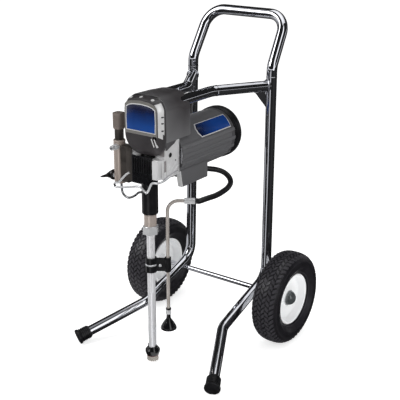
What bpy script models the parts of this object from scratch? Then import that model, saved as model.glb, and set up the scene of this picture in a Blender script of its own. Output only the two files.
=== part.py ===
"""Airless paint sprayer: a two-wheeled tube cart that carries an electric motor, a crank drive and a piston pump.

Metres, +Z up, the front faces -Y. Lengths along Y are measured from the wheel axle, because everything
is parented to the empty "cart", which stands at the axle.
"""
import math

import bpy
import bmesh
from mathutils import Matrix, Vector

for old in list(bpy.data.objects):
    bpy.data.objects.remove(old, do_unlink=True)

GAP = 0.0003                   # clearance between touching pieces
AXLE_Y = 0.1322                # the axle's place, which centres the outline on the origin

# wheels and axle
WHEEL_R = 0.1425
TYRE_HALF = 0.0435
TYRE_WALL = 0.0060
RIM_R = 0.0790
RIM_HALF = 0.0300
TRACK = 0.2418                 # from the middle plane to a wheel's own middle plane
AXLE_R = 0.0079
BUSH_R = 0.0110
HUB_R = 0.0180
HUB_IN = 0.0340                # how far the hub reaches towards the cart
HUB_OUT = 0.0240

# cart frame
TUBE_R = 0.01588               # 1 1/4 inch tube
TUBE_WALL = 0.0018
HANDLE = Vector((0.1367, 0.1330, 0.9695))
SHOULDER = Vector((0.1416, 0.0498, 0.8319))
HEEL = Vector((0.1465, 0.0414, 0.1716))
SPLAY = Vector((0.1470, -0.1966, 0.0920))
TOE = Vector((0.2505, -0.3975, 0.0215))
FOOT_R = 0.0235
FOOT_LENGTH = 0.0420
ARM_Z = 0.7770
ARM_BEND = Vector((0.0445, -0.1140, ARM_Z))
GUSSET = 0.0480
GUSSET_DEPTH = 0.0400

# drive unit, seen from the front
HOUSING_HALF = 0.0600
HOUSING_BOTTOM = 0.5800
HOUSING_STEP = 0.6340          # the lower block reaches further forward below this
HOUSING_TOP = 0.7990
HOUSING_FRONT = -0.3720
CASE_FRONT = -0.3525
HOUSING_BACK = -0.2905
WEB = 0.0100                   # the plate that holds the bearings
SHROUD_HALF = 0.0660
SHROUD_BOTTOM = 0.6820
SHROUD_TOP = 0.8050
SHROUD_BACK = -0.2400
SHROUD_CORNER = 0.0300
SHELL = 0.0025
COVER_FRONT = -0.3800
COVER_LIP = -0.3755
COVER_BACK = -0.3530
COVER_CORNER = 0.0330

# motor
MOTOR_Z = 0.6315
COWL_R = 0.0735
RIB = 0.0022
COWL_WALL = 0.0030
COWL_BACK = -0.0360
CAP_BACK = 0.0137
CAP_R = 0.0775
SHAFT_R = 0.0060
ROTOR_R = 0.0400
STATOR_BORE = 0.0415
STATOR_R = 0.0560
STATOR_LENGTH = 0.1450

# gears: module 2 mm
MODULE = 0.0020
MOTOR_TEETH = 10
IDLER_TEETH = 34
IDLER_PINION_TEETH = 14
CRANK_TEETH = 42
IDLER_Z = MOTOR_Z + MODULE * (MOTOR_TEETH + IDLER_TEETH) / 2
CRANK_Z = IDLER_Z + MODULE * (IDLER_PINION_TEETH + CRANK_TEETH) / 2
CRANK_PLANE = (-0.3265, -0.3133)
IDLER_PLANE = (-0.3120, -0.3012)

# pump
PUMP_Y = -0.3470
THROW = 0.0120
ROD_LENGTH = 0.0900
WRIST_Z = CRANK_Z + THROW - ROD_LENGTH
PISTON_R = 0.0095
PISTON_BOTTOM = 0.4620
CYLINDER_R = 0.0178
CYLINDER_BORE = 0.0130
CYLINDER_BOTTOM = 0.4302
SLEEVE_R = 0.0230
SLEEVE_BOTTOM = 0.4673
VALVE_R = 0.0235
VALVE_BOTTOM = 0.4072
SEAT_Z = 0.4131
SEAT_HOLE = 0.0048
BALL_R = 0.0062
BALL_Z = SEAT_Z + math.sqrt(BALL_R ** 2 - SEAT_HOLE ** 2) + GAP
SIPHON_R = 0.0115
SIPHON_BOTTOM = 0.0320
COLLAR_BOTTOM = 0.0220

# return line
DRAIN = Vector((0.0400, -0.3205, 0.0))
DRAIN_R = 0.0050
DRAIN_BOTTOM = 0.1700
OUTWARD = Vector((DRAIN.x, DRAIN.y - PUMP_Y, 0.0)).normalized()
RETURN_Z = 0.5050
FERRULE = (0.0473, 0.0775)     # the ends' distances from the drain tube, along OUTWARD
FERRULE_R = 0.0090
HOSE_R = 0.0080
CLAMP = (0.2900, 0.3330)

# filter manifold on the left side
FILTER = Vector((-0.1015, -0.3520, 0.0))
FILTER_R = 0.0170
FILTER_SPAN = (0.5400, 0.6650)
FILTER_NECK = 0.6930           # top of the neck, where the head begins
FILTER_TOP = 0.7420
BARB_Z = 0.5605
OUTLET = Vector((-0.0985, -0.3640, 0.6480))
PRIME = Vector((-0.1140, -0.3555, 0.5590))

# electrical box under the motor
BOX_HALF = 0.0600
BOX_BOTTOM = 0.5365
BOX_BACK = -0.1565
BOX_FRONT = -0.2745
BOX_SLANT = 0.19               # how far the front leans forward per metre of height
NOTCH = (-0.0300, 0.0460)      # across the box's front, so that the pump's pipes pass under the motor
NOTCH_BACK = -0.2150
PANEL_OUT = -0.0790
PANEL_SPAN = (-0.2600, -0.1680)
PANEL_HEIGHT = (0.5560, 0.5850)
KNOB_Y = -0.2340
SWITCH_Y = -0.1900
SWITCH_TILT = math.radians(7)    # the rocker's lean to either side of level; it is off here

PALETTE = {                    # colour, roughness, metallic
    "chrome": ((0.80, 0.80, 0.82), 0.12, 1.0),
    "nickel": ((0.62, 0.57, 0.53), 0.25, 1.0),
    "cast_aluminium": ((0.68, 0.68, 0.69), 0.45, 0.9),
    "zinc": ((0.72, 0.73, 0.75), 0.35, 1.0),
    "steel": ((0.55, 0.56, 0.58), 0.30, 1.0),
    "charcoal_paint": ((0.09, 0.088, 0.092), 0.38, 0.35),
    "black_plastic": ((0.018, 0.018, 0.02), 0.45, 0.0),
    "white_plastic": ((0.80, 0.80, 0.82), 0.40, 0.0),
    "rubber": ((0.028, 0.028, 0.031), 0.75, 0.0),
    "blue_badge": ((0.02, 0.10, 0.38), 0.30, 0.2),
    "green_board": ((0.03, 0.22, 0.08), 0.50, 0.0),
    "grey_mesh": ((0.45, 0.43, 0.42), 0.60, 0.3),
}


def material(name):
    """Return the material called name, made from the palette the first time."""
    found = bpy.data.materials.get(name)
    if found:
        return found
    colour, roughness, metallic = PALETTE[name]
    made = bpy.data.materials.new(name)
    made.use_nodes = True
    shader = made.node_tree.nodes["Principled BSDF"]
    shader.inputs["Base Color"].default_value = (*colour, 1.0)
    shader.inputs["Roughness"].default_value = roughness
    shader.inputs["Metallic"].default_value = metallic
    made.diffuse_color = (*colour, 1.0)
    return made


cart = bpy.data.objects.new("cart", None)
cart.location = (0.0, AXLE_Y, 0.0)
bpy.context.scene.collection.objects.link(cart)


def piece(name, bm, skin, origin=(0.0, 0.0, 0.0)):
    """Make an object of a mesh that was modelled in the cart's frame, with its origin at the given point."""
    bmesh.ops.translate(bm, verts=bm.verts, vec=-Vector(origin))
    bmesh.ops.recalc_face_normals(bm, faces=bm.faces)
    mesh = bpy.data.meshes.new(name)
    bm.to_mesh(mesh)
    bm.free()
    mesh.shade_smooth()
    mesh.set_sharp_from_angle(angle=math.radians(35))
    made = bpy.data.objects.new(name, mesh)
    made.location = origin
    made.parent = cart
    made.data.materials.append(material(skin))
    bpy.context.scene.collection.objects.link(made)
    return made


def combine(target, bm, operation):
    """Cut a tool out of the target, or join the tool to it, with a Boolean modifier."""
    tool = piece(f"{target.name}_tool_{len(target.modifiers)}", bm, "steel")
    tool.hide_render = True
    tool.display_type = "WIRE"
    change = target.modifiers.new(operation.lower(), "BOOLEAN")
    change.operation = operation
    change.solver = "EXACT"
    change.object = tool


def cut(target, *tools):
    for bm in tools:
        combine(target, bm, "DIFFERENCE")


def join(target, *tools):
    for bm in tools:
        combine(target, bm, "UNION")


def turned(profile, start=(0.0, 0.0, 0.0), along=(0.0, 0.0, 1.0), steps=16, ring=False):
    """Spin a profile of (radius, distance along the axis) points; a ring's profile closes on itself."""
    bm = bmesh.new()
    verts = [bm.verts.new((radius, 0.0, height)) for radius, height in profile]
    edges = [bm.edges.new(pair) for pair in zip(verts, verts[1:])]
    if ring:
        edges.append(bm.edges.new((verts[-1], verts[0])))
    bmesh.ops.spin(bm, geom=verts + edges, cent=(0, 0, 0), axis=(0, 0, 1),
                   angle=math.tau, steps=steps, use_merge=True)
    bmesh.ops.remove_doubles(bm, verts=bm.verts, dist=1e-6)
    turn = Vector((0, 0, 1)).rotation_difference(Vector(along)).to_matrix().to_4x4()
    bmesh.ops.transform(bm, matrix=Matrix.Translation(Vector(start)) @ turn, verts=bm.verts)
    return bm


def rod(radius, start, end, steps=16):
    """A solid cylinder from start to end."""
    length = (Vector(end) - Vector(start)).length
    profile = [(0.0, 0.0), (radius, 0.0), (radius, length), (0.0, length)]
    return turned(profile, start, Vector(end) - Vector(start), steps)


def sleeve(outer, inner, start, end, steps=16):
    """A cylinder from start to end with a hole along its axis."""
    length = (Vector(end) - Vector(start)).length
    profile = [(inner, 0.0), (outer, 0.0), (outer, length), (inner, length)]
    return turned(profile, start, Vector(end) - Vector(start), steps, ring=True)


def prism(outline, low, high, axis="Y"):
    """Extrude a closed outline along an axis: (x, z) points for Y, (x, y) for Z and (y, z) for X."""
    spot = {"X": lambda a, b: (low, a, b), "Y": lambda a, b: (a, low, b), "Z": lambda a, b: (a, b, low)}[axis]
    step = Vector({"X": (1, 0, 0), "Y": (0, 1, 0), "Z": (0, 0, 1)}[axis]) * (high - low)
    bm = bmesh.new()
    face = bm.faces.new([bm.verts.new(spot(a, b)) for a, b in outline])
    grown = bmesh.ops.extrude_face_region(bm, geom=[face])
    moved = [item for item in grown["geom"] if isinstance(item, bmesh.types.BMVert)]
    bmesh.ops.translate(bm, verts=moved, vec=step)
    return bm


def block(x_span, y_span, z_span):
    """A rectangular block between two coordinates on each axis."""
    (left, right), (bottom, top) = x_span, z_span
    return prism([(left, bottom), (right, bottom), (right, top), (left, top)], *y_span)


def arc(centre, radius, start, end, steps):
    """Points on an arc between two angles in degrees."""
    angles = [math.radians(start + (end - start) * step / steps) for step in range(steps + 1)]
    return [(centre[0] + radius * math.cos(a), centre[1] + radius * math.sin(a)) for a in angles]


def bent(corners, radius, steps=5):
    """The centre line of a tube that runs between corners and turns at each with the given bend radius."""
    path = [corners[0]]
    for before, corner, after in zip(corners, corners[1:], corners[2:]):
        inward = (before - corner).normalized()
        outward = (after - corner).normalized()
        half = inward.angle(outward) / 2
        reach = radius / math.tan(half)
        centre = corner + (inward + outward).normalized() * (radius / math.sin(half))
        first = (corner + inward * reach - centre).normalized()
        last = (corner + outward * reach - centre).normalized()
        path += [centre + first.slerp(last, step / steps) * radius for step in range(steps + 1)]
    return path + [corners[-1]]


def smooth(points, per_span=3):
    """Points on a Catmull-Rom curve through the given points."""
    ends = [points[0] * 2 - points[1], *points, points[-1] * 2 - points[-2]]
    path = []
    for a, b, c, d in zip(ends, ends[1:], ends[2:], ends[3:]):
        for step in range(per_span):
            t = step / per_span
            path.append(0.5 * (2 * b + (c - a) * t + (2 * a - 5 * b + 4 * c - d) * t * t
                               + (3 * b - a - 3 * c + d) * t * t * t))
    return path + [points[-1]]


def swept(path, radius, resolution, closed):
    """The mesh of a round bar, or of a tube's outer skin, along a path."""
    curve = bpy.data.curves.new("path", "CURVE")
    curve.dimensions = "3D"
    curve.bevel_depth = radius
    curve.bevel_resolution = resolution
    curve.use_fill_caps = closed
    spline = curve.splines.new("POLY")
    spline.points.add(len(path) - 1)
    for point, place in zip(spline.points, path):
        point.co = (*place, 1.0)
    guide = bpy.data.objects.new("path", curve)
    bpy.context.scene.collection.objects.link(guide)
    seen = guide.evaluated_get(bpy.context.evaluated_depsgraph_get())
    bm = bmesh.new()
    bm.from_mesh(seen.to_mesh())
    seen.to_mesh_clear()
    bpy.data.objects.remove(guide, do_unlink=True)
    bmesh.ops.remove_doubles(bm, verts=bm.verts, dist=1e-6)
    return bm


def tube(name, path, skin, radius=TUBE_R, wall=TUBE_WALL, resolution=4):
    """A hollow tube along a path, open at both ends."""
    made = piece(name, swept(path, radius, resolution, False), skin)
    thick = made.modifiers.new("wall", "SOLIDIFY")
    thick.thickness = wall
    thick.offset = -1.0
    return made


def bar(name, path, skin, radius, resolution=2):
    """A solid round bar along a path."""
    return piece(name, swept(path, radius, resolution, True), skin)


def mirrored(point, side):
    return Vector((point.x * side, point.y, point.z))


# ---------------------------------------------------------------- cart frame

def side_name(side):
    return "right" if side > 0 else "left"


def make_handle():
    split = SHOULDER + (HEEL - SHOULDER).normalized() * 0.0300
    corners = [mirrored(split, -1), mirrored(SHOULDER, -1), mirrored(HANDLE, -1), HANDLE, SHOULDER, split]
    tube("handle_loop", bent(corners, 0.058, 4), "chrome", resolution=3)
    return split + (HEEL - SHOULDER).normalized() * GAP


def make_side(side, top):
    corners = [mirrored(point, side) for point in (top, HEEL, SPLAY, TOE)]
    body = tube(f"{side_name(side)}_side_tube", bent(corners, 0.060, 4), "chrome", resolution=3)
    cut(body, rod(AXLE_R + GAP, (-TRACK, 0, WHEEL_R), (TRACK, 0, WHEEL_R)))

    arm_start = mirrored(SHOULDER + (HEEL - SHOULDER) * ((SHOULDER.z - ARM_Z) / (SHOULDER.z - HEEL.z)), side)
    arm_end = Vector((side * ARM_BEND.x, HOUSING_BACK + GAP, ARM_Z))
    path = bent([arm_start, mirrored(ARM_BEND, side), arm_end], 0.070, 4)
    arm = tube(f"{side_name(side)}_bracket_arm", path, "chrome")
    upright = (HEEL - SHOULDER).normalized() * 0.06
    upright.x *= side
    cut(arm, rod(TUBE_R + GAP, arm_start - upright, arm_start + upright))

    make_gusset(side, arm_start)
    make_foot(side)


def make_gusset(side, corner):
    """A triangular plate welded in the corner under a bracket arm."""
    level = mirrored(ARM_BEND, side) - corner
    level.z = 0.0
    level.normalize()
    near = corner + level * (TUBE_R + 0.0012) + Vector((0, 0, -TUBE_R - GAP))
    points = [near, near + level * GUSSET_DEPTH, near + Vector((0, 0, -GUSSET))]
    thickness = level.cross(Vector((0, 0, 1))) * 0.004
    bm = bmesh.new()
    face = bm.faces.new([bm.verts.new(point - thickness / 2) for point in points])
    grown = bmesh.ops.extrude_face_region(bm, geom=[face])
    moved = [item for item in grown["geom"] if isinstance(item, bmesh.types.BMVert)]
    bmesh.ops.translate(bm, verts=moved, vec=thickness)
    piece(f"{side_name(side)}_gusset", bm, "chrome")


def make_foot(side):
    """A rubber cap on the end of a leg, flared at its rim, with a flat moulded where it meets the floor."""
    toe = mirrored(TOE, side)
    back = (mirrored(SPLAY, side) - toe).normalized()
    front = toe - back * 0.0040
    hole = TUBE_R + GAP
    profile = [(0.0, 0.0), (FOOT_R, 0.0), (FOOT_R, 0.0070), (FOOT_R - 0.0020, 0.0100),
               (FOOT_R - 0.0030, FOOT_LENGTH - 0.003), (FOOT_R - 0.005, FOOT_LENGTH),
               (hole, FOOT_LENGTH), (hole, 0.0040 - GAP), (0.0, 0.0040 - GAP)]
    foot = piece(f"{side_name(side)}_foot", turned(profile, front, back, 20), "rubber")
    cut(foot, block((-0.4, 0.4), (-0.6, 0.0), (-0.1, 0.0)))


# ---------------------------------------------------------------- wheels

def make_axle():
    piece("axle", rod(AXLE_R, (-TRACK - HUB_OUT - 0.004, 0, WHEEL_R), (TRACK + HUB_OUT + 0.004, 0, WHEEL_R)), "zinc")


def tyre_section(steps, wall, bead):
    """Half-round side of a tyre's section, set in by its wall, from one bead to the other."""
    height = WHEEL_R - RIM_R
    section = [(RIM_R + GAP, -bead)]
    for step in range(steps + 1):
        swing = math.pi * (step / steps - 0.5)
        bulge = math.copysign(abs(math.sin(swing)) ** 0.75, swing) * (TYRE_HALF - wall)
        section.append((RIM_R + 0.35 * height + (0.65 * height - wall) * math.cos(swing) ** 0.6, bulge))
    return [*section, (RIM_R + GAP, bead)]


def make_wheel(side):
    name = side_name(side)
    centre = Vector((side * TRACK, 0.0, WHEEL_R))
    out = (side, 0, 0)

    outer = tyre_section(8, 0.0, RIM_HALF - 0.003)
    inner = tyre_section(6, TYRE_WALL, RIM_HALF - 0.003 - TYRE_WALL)
    piece(f"{name}_tyre", turned(outer + inner[::-1], centre, out, 24, ring=True), "rubber", centre)

    hub = HUB_R
    section = [(BUSH_R + GAP, -HUB_IN), (hub, -HUB_IN), (hub + 0.004, -0.006), (0.0640, -0.006),
               (0.0700, -RIM_HALF), (RIM_R, -RIM_HALF), (RIM_R, RIM_HALF), (0.0720, RIM_HALF),
               (0.0650, 0.008), (hub + 0.006, 0.004), (hub + 0.002, HUB_OUT - 0.004),
               (BUSH_R + GAP, HUB_OUT - 0.004)]
    piece(f"{name}_rim", turned(section, centre, out, 24, ring=True), "white_plastic", centre)

    bush = sleeve(BUSH_R, AXLE_R + GAP, centre - Vector(out) * HUB_IN, centre + Vector(out) * (HUB_OUT - 0.004))
    piece(f"{name}_wheel_bush", bush, "black_plastic", centre)

    seat = HUB_OUT - 0.004 + GAP
    dome = [(0.0, seat + 0.0090), (AXLE_R + GAP, seat + 0.0090), (AXLE_R + GAP, seat), (0.0225, seat),
            (0.0225, seat + 0.0020), (0.0200, seat + 0.0070), (0.0150, seat + 0.0118),
            (0.0080, seat + 0.0148), (0.0, seat + 0.0155)]
    piece(f"{name}_hub_cap", turned(dome, centre, out, 16), "black_plastic")


# ---------------------------------------------------------------- drive unit shells

def arched(half, bottom, top, corner):
    """An outline with square bottom corners and round top corners."""
    right = arc((half - corner, top - corner), corner, 0, 90, 5)
    left = [(-x, z) for x, z in reversed(right)]
    return [(-half, bottom), (half, bottom), *right, *left]


def make_housing():
    half = HOUSING_HALF
    chamfer = 0.010
    plan = [(-half, HOUSING_BACK), (-half, HOUSING_FRONT + chamfer), (-half + chamfer, HOUSING_FRONT),
            (half - chamfer, HOUSING_FRONT), (half, HOUSING_FRONT + chamfer), (half, HOUSING_BACK)]
    body = piece("drive_housing", prism(plan, HOUSING_BOTTOM, HOUSING_STEP, "Z"), "cast_aluminium")
    case = arched(half, HOUSING_STEP - 0.002, HOUSING_TOP, SHROUD_CORNER - 0.006)
    join(body, prism(case, CASE_FRONT, HOUSING_BACK))
    join(body, block((0.0335, 0.0500), (HOUSING_FRONT - 0.005, HOUSING_FRONT + 0.001),
                     (HOUSING_BOTTOM, 0.6320)))
    pocket_back = HOUSING_BACK - WEB
    wall = CASE_FRONT + 0.0040
    cut(body,
        block((-0.050, 0.050), (wall, pocket_back), (0.6160, 0.7840)),
        rod(0.0465, (0, -0.38, CRANK_Z), (0, wall + 0.001, CRANK_Z), 28),
        rod(0.0375, (0, -0.38, IDLER_Z), (0, wall + 0.001, IDLER_Z), 24),
        block((-0.026, 0.026), (-0.40, -0.3240), (0.5950, 0.6500)),
        rod(CYLINDER_R + GAP, (0, PUMP_Y, 0.57), (0, PUMP_Y, 0.60), 20),
        rod(0.0140 + GAP, (0, -0.31, MOTOR_Z), (0, -0.28, MOTOR_Z)),
        rod(SHAFT_R + GAP, (0, -0.31, IDLER_Z), (0, -0.28, IDLER_Z)),
        rod(0.0100 + GAP, (0, -0.31, CRANK_Z), (0, -0.28, CRANK_Z)))


def make_shroud():
    outer = arched(SHROUD_HALF, SHROUD_BOTTOM, SHROUD_TOP, SHROUD_CORNER)
    body = piece("gear_shroud", prism(outer, COVER_BACK + GAP, SHROUD_BACK), "charcoal_paint")
    inner = arched(SHROUD_HALF - SHELL, SHROUD_BOTTOM - 0.01, SHROUD_TOP - SHELL, SHROUD_CORNER - SHELL)
    cut(body,
        prism(inner, COVER_BACK - 0.02, SHROUD_BACK - SHELL),
        rod(COWL_R + RIB + 0.001, (0, SHROUD_BACK - 0.02, MOTOR_Z), (0, SHROUD_BACK + 0.02, MOTOR_Z), 32))
    for side in (-1, 1):
        start = Vector((side * ARM_BEND.x, SHROUD_BACK - 0.02, ARM_Z))
        cut(body, rod(TUBE_R + 0.0008, start, start + Vector((0, 0.04, 0))))


def shield(half, bottom, middle, top, power=0.65):
    """The front cover's outline: a squared half round below, and a low arch with round corners above."""
    lower = []
    for step in range(11):
        turn = math.pi * step / 10
        across = math.copysign(abs(math.cos(turn)) ** power, -math.cos(turn))
        lower.append((half * across, middle - (middle - bottom) * math.sin(turn) ** power))
    corner = arc((half - COVER_CORNER, top - COVER_CORNER - 0.004), COVER_CORNER, 8, 80, 5)
    crown = [(0.0, top)]
    return [*lower, *corner, *crown, *[(-x, z) for x, z in reversed(corner)]]


def make_cover():
    body = piece("front_cover", prism(shield(0.0660, 0.6390, 0.7050, 0.8040), COVER_LIP, COVER_BACK),
                 "charcoal_paint")
    join(body, prism(shield(0.0630, 0.6540, 0.7150, 0.8020), COVER_FRONT, COVER_BACK - 0.001))
    cut(body,
        prism(shield(0.0600, 0.6450, 0.7080, 0.7990), COVER_FRONT + 0.0030, COVER_BACK + 0.01),
        block((-0.0300, 0.0300), (COVER_LIP + 0.0030, COVER_BACK + 0.01), (0.6300, 0.6500)))
    face = [(-0.0480, 0.7110), (0.0480, 0.7110), (0.0480, 0.7720), (0.0250, 0.7810),
            (0.0, 0.7840), (-0.0250, 0.7810), (-0.0480, 0.7720)]
    piece("cover_badge", prism(face, COVER_FRONT - GAP - 0.0012, COVER_FRONT - GAP), "blue_badge")

    guard = piece("rod_guard", block((-0.0395, 0.0325), (HOUSING_FRONT - 0.0035, HOUSING_FRONT - GAP),
                                     (0.5580, 0.6380)), "black_plastic")
    for column in (-0.0215, -0.0035, 0.0145):
        cut(guard, block((column - 0.0030, column + 0.0030), (HOUSING_FRONT - 0.01, HOUSING_FRONT + 0.01),
                         (0.5980, 0.6280)))


# ---------------------------------------------------------------- motor

def cowl_outline(grow):
    """A circle with lengthwise ribs on its lower flanks."""
    ribs = [angle for low in (-62, -42, -22, -2, 18) for angle in (low, 180 - low)]
    outline = []
    for step in range(72):
        angle = step * 5
        near = min(abs((angle - rib + 180) % 360 - 180) for rib in ribs)
        radius = COWL_R + grow + (RIB if near < 3.0 else 0.0)
        turn = math.radians(angle)
        outline.append((radius * math.cos(turn), MOTOR_Z + radius * math.sin(turn)))
    return outline


def make_motor():
    front = HOUSING_BACK + GAP
    cowl = piece("motor_cowl", prism(cowl_outline(0.0), front, COWL_BACK), "charcoal_paint")
    cut(cowl,
        rod(COWL_R - COWL_WALL, (0, front + COWL_WALL, MOTOR_Z), (0, COWL_BACK + 0.01, MOTOR_Z), 24),
        rod(0.0520, (0, front - 0.01, MOTOR_Z), (0, front + 0.01, MOTOR_Z), 24))

    depth = CAP_BACK - COWL_BACK - GAP
    cap = [(0.0, depth - 0.003), (0.0143, depth - 0.003), (0.0143, 0.006), (0.0185, 0.006),
           (0.0185, depth - 0.003), (0.028, depth - 0.003), (COWL_R - 0.015, depth - 0.006),
           (COWL_R - 0.007, depth - 0.014), (COWL_R - 0.004, depth - 0.024), (COWL_R - 0.004, 0.0),
           (CAP_R, 0.0), (CAP_R, depth - 0.022), (CAP_R - 0.0045, depth - 0.010),
           (COWL_R - 0.014, depth - 0.003), (0.030, depth), (0.0, depth)]
    piece("motor_end_cap", turned(cap, (0, COWL_BACK + GAP, MOTOR_Z), (0, 1, 0), 20), "black_plastic")

    can = [(STATOR_BORE, 0.0), (0.0695, 0.0), (0.0695, 0.006), (STATOR_R, 0.006), (STATOR_R, STATOR_LENGTH),
           (STATOR_BORE, STATOR_LENGTH)]
    piece("motor_stator", turned(can, (0, front + COWL_WALL + GAP, MOTOR_Z), (0, 1, 0), 20, ring=True), "steel")

    axis = (0, front, MOTOR_Z)
    outline = gear_outline(MOTOR_TEETH, 0.0)
    pinion = [(x, MOTOR_Z + z) for x, z in outline]
    rotor = piece("motor_rotor", prism(pinion, IDLER_PLANE[0], IDLER_PLANE[1]), "steel", axis)
    core = [(0.0, 0.0), (SHAFT_R, 0.0), (SHAFT_R, 0.0300), (ROTOR_R, 0.0350), (ROTOR_R, 0.1350),
            (0.0200, 0.1400), (0.0200, 0.1580), (SHAFT_R, 0.1590), (SHAFT_R, 0.2880), (0.0, 0.2880)]
    join(rotor, turned(core, (0, IDLER_PLANE[1] - 0.001, MOTOR_Z), (0, 1, 0), 20))

    fan = piece("cooling_fan", sleeve(0.0140, SHAFT_R + GAP, (0, -0.0580, MOTOR_Z), (0, -0.0440, MOTOR_Z)),
                "black_plastic", (0, -0.0510, MOTOR_Z))
    for blade in range(8):
        turn = Matrix.Translation((0, 0, MOTOR_Z)) @ Matrix.Rotation(math.tau * blade / 8, 4, "Y")
        vane = block((0.0130, 0.0630), (-0.0565, -0.0455), (-0.0012, 0.0012))
        bmesh.ops.transform(vane, matrix=turn, verts=vane.verts)
        join(fan, vane)

    bearing = sleeve(0.0140, SHAFT_R + GAP, (0, HOUSING_BACK - WEB + 0.0005, MOTOR_Z),
                     (0, HOUSING_BACK - 0.0005, MOTOR_Z))
    piece("front_bearing", bearing, "steel")
    piece("rear_bearing", sleeve(0.0140, SHAFT_R + GAP, (0, -0.0280, MOTOR_Z), (0, -0.0180, MOTOR_Z)), "steel")


# ---------------------------------------------------------------- gear train, crank and pump

def gear_outline(teeth, phase):
    """Points round a spur gear, four to a tooth, with backlash; phase is in tooth pitches."""
    pitch = MODULE * teeth / 2
    outline = []
    for tooth in range(teeth):
        for share, radius in ((-0.21, pitch - 1.15 * MODULE), (-0.10, pitch + 0.85 * MODULE),
                              (0.10, pitch + 0.85 * MODULE), (0.21, pitch - 1.15 * MODULE)):
            turn = math.tau * (tooth + phase + share) / teeth
            outline.append((radius * math.sin(turn), radius * math.cos(turn)))
    return outline


def make_gears():
    axis = (0, IDLER_PLANE[0], IDLER_Z)
    wheel = [(x, IDLER_Z + z) for x, z in gear_outline(IDLER_TEETH, 0.5)]
    idler = piece("idler_gear", prism(wheel, IDLER_PLANE[0], IDLER_PLANE[1]), "steel", axis)
    small = [(x, IDLER_Z + z) for x, z in gear_outline(IDLER_PINION_TEETH, 0.5)]
    join(idler,
         prism(small, CRANK_PLANE[0], IDLER_PLANE[0] + 0.001),
         rod(SHAFT_R, (0, IDLER_PLANE[1] - 0.001, IDLER_Z), (0, HOUSING_BACK - 0.0015, IDLER_Z)))

    axis = (0, CRANK_PLANE[0], CRANK_Z)
    wheel = [(x, CRANK_Z + z) for x, z in gear_outline(CRANK_TEETH, 0.0)]
    crank = piece("crankshaft", prism(wheel, CRANK_PLANE[0], CRANK_PLANE[1]), "steel", axis)
    weight = [(x, CRANK_Z + z) for x, z in [*arc((0, 0), 0.026, 180, 360, 8), (0.014, 0.016), (-0.014, 0.016)]]
    join(crank,
         prism(weight, -0.3340, CRANK_PLANE[0] + 0.001),
         rod(0.0100, (0, CRANK_PLANE[1] - 0.001, CRANK_Z), (0, HOUSING_BACK - 0.0015, CRANK_Z)))


def make_drive_rod():
    """The connecting rod hangs from the crank pin, at its highest place, and swings on the wrist pin."""
    wrist = Vector((0, PUMP_Y, WRIST_Z))
    pin_z = WRIST_Z + ROD_LENGTH
    shank = [*arc((0, WRIST_Z), 0.0100, 180, 360, 8), (0.0070, WRIST_Z + 0.030), (0.0070, pin_z),
             (-0.0070, pin_z), (-0.0070, WRIST_Z + 0.030)]
    conrod = piece("connecting_rod", prism(shank, PUMP_Y - 0.0045, PUMP_Y + 0.0045), "cast_aluminium", wrist)
    join(conrod, rod(0.0180, (0, -0.3580, pin_z), (0, -0.3350, pin_z), 20))
    cut(conrod, rod(0.0040 + GAP, (0, -0.36, WRIST_Z), (0, -0.33, WRIST_Z), 12))

    piece("wrist_pin", rod(0.0040, (0, PUMP_Y - 0.0100, WRIST_Z), (0, PUMP_Y + 0.0100, WRIST_Z), 12),
          "steel", wrist)

    stem = rod(PISTON_R, (0, PUMP_Y, PISTON_BOTTOM), (0, PUMP_Y, WRIST_Z - 0.0150))
    piston = piece("piston_rod", stem, "steel", (0, PUMP_Y, WRIST_Z))
    join(piston, block((-0.0120, 0.0120), (PUMP_Y - 0.0105, PUMP_Y + 0.0105), (WRIST_Z - 0.0220, WRIST_Z + 0.0120)))
    cut(piston,
        block((-0.02, 0.02), (PUMP_Y - 0.0050, PUMP_Y + 0.0050), (WRIST_Z - 0.0115, WRIST_Z + 0.02)),
        rod(0.0040 + GAP, (0, -0.37, WRIST_Z), (0, -0.32, WRIST_Z), 12))


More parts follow.
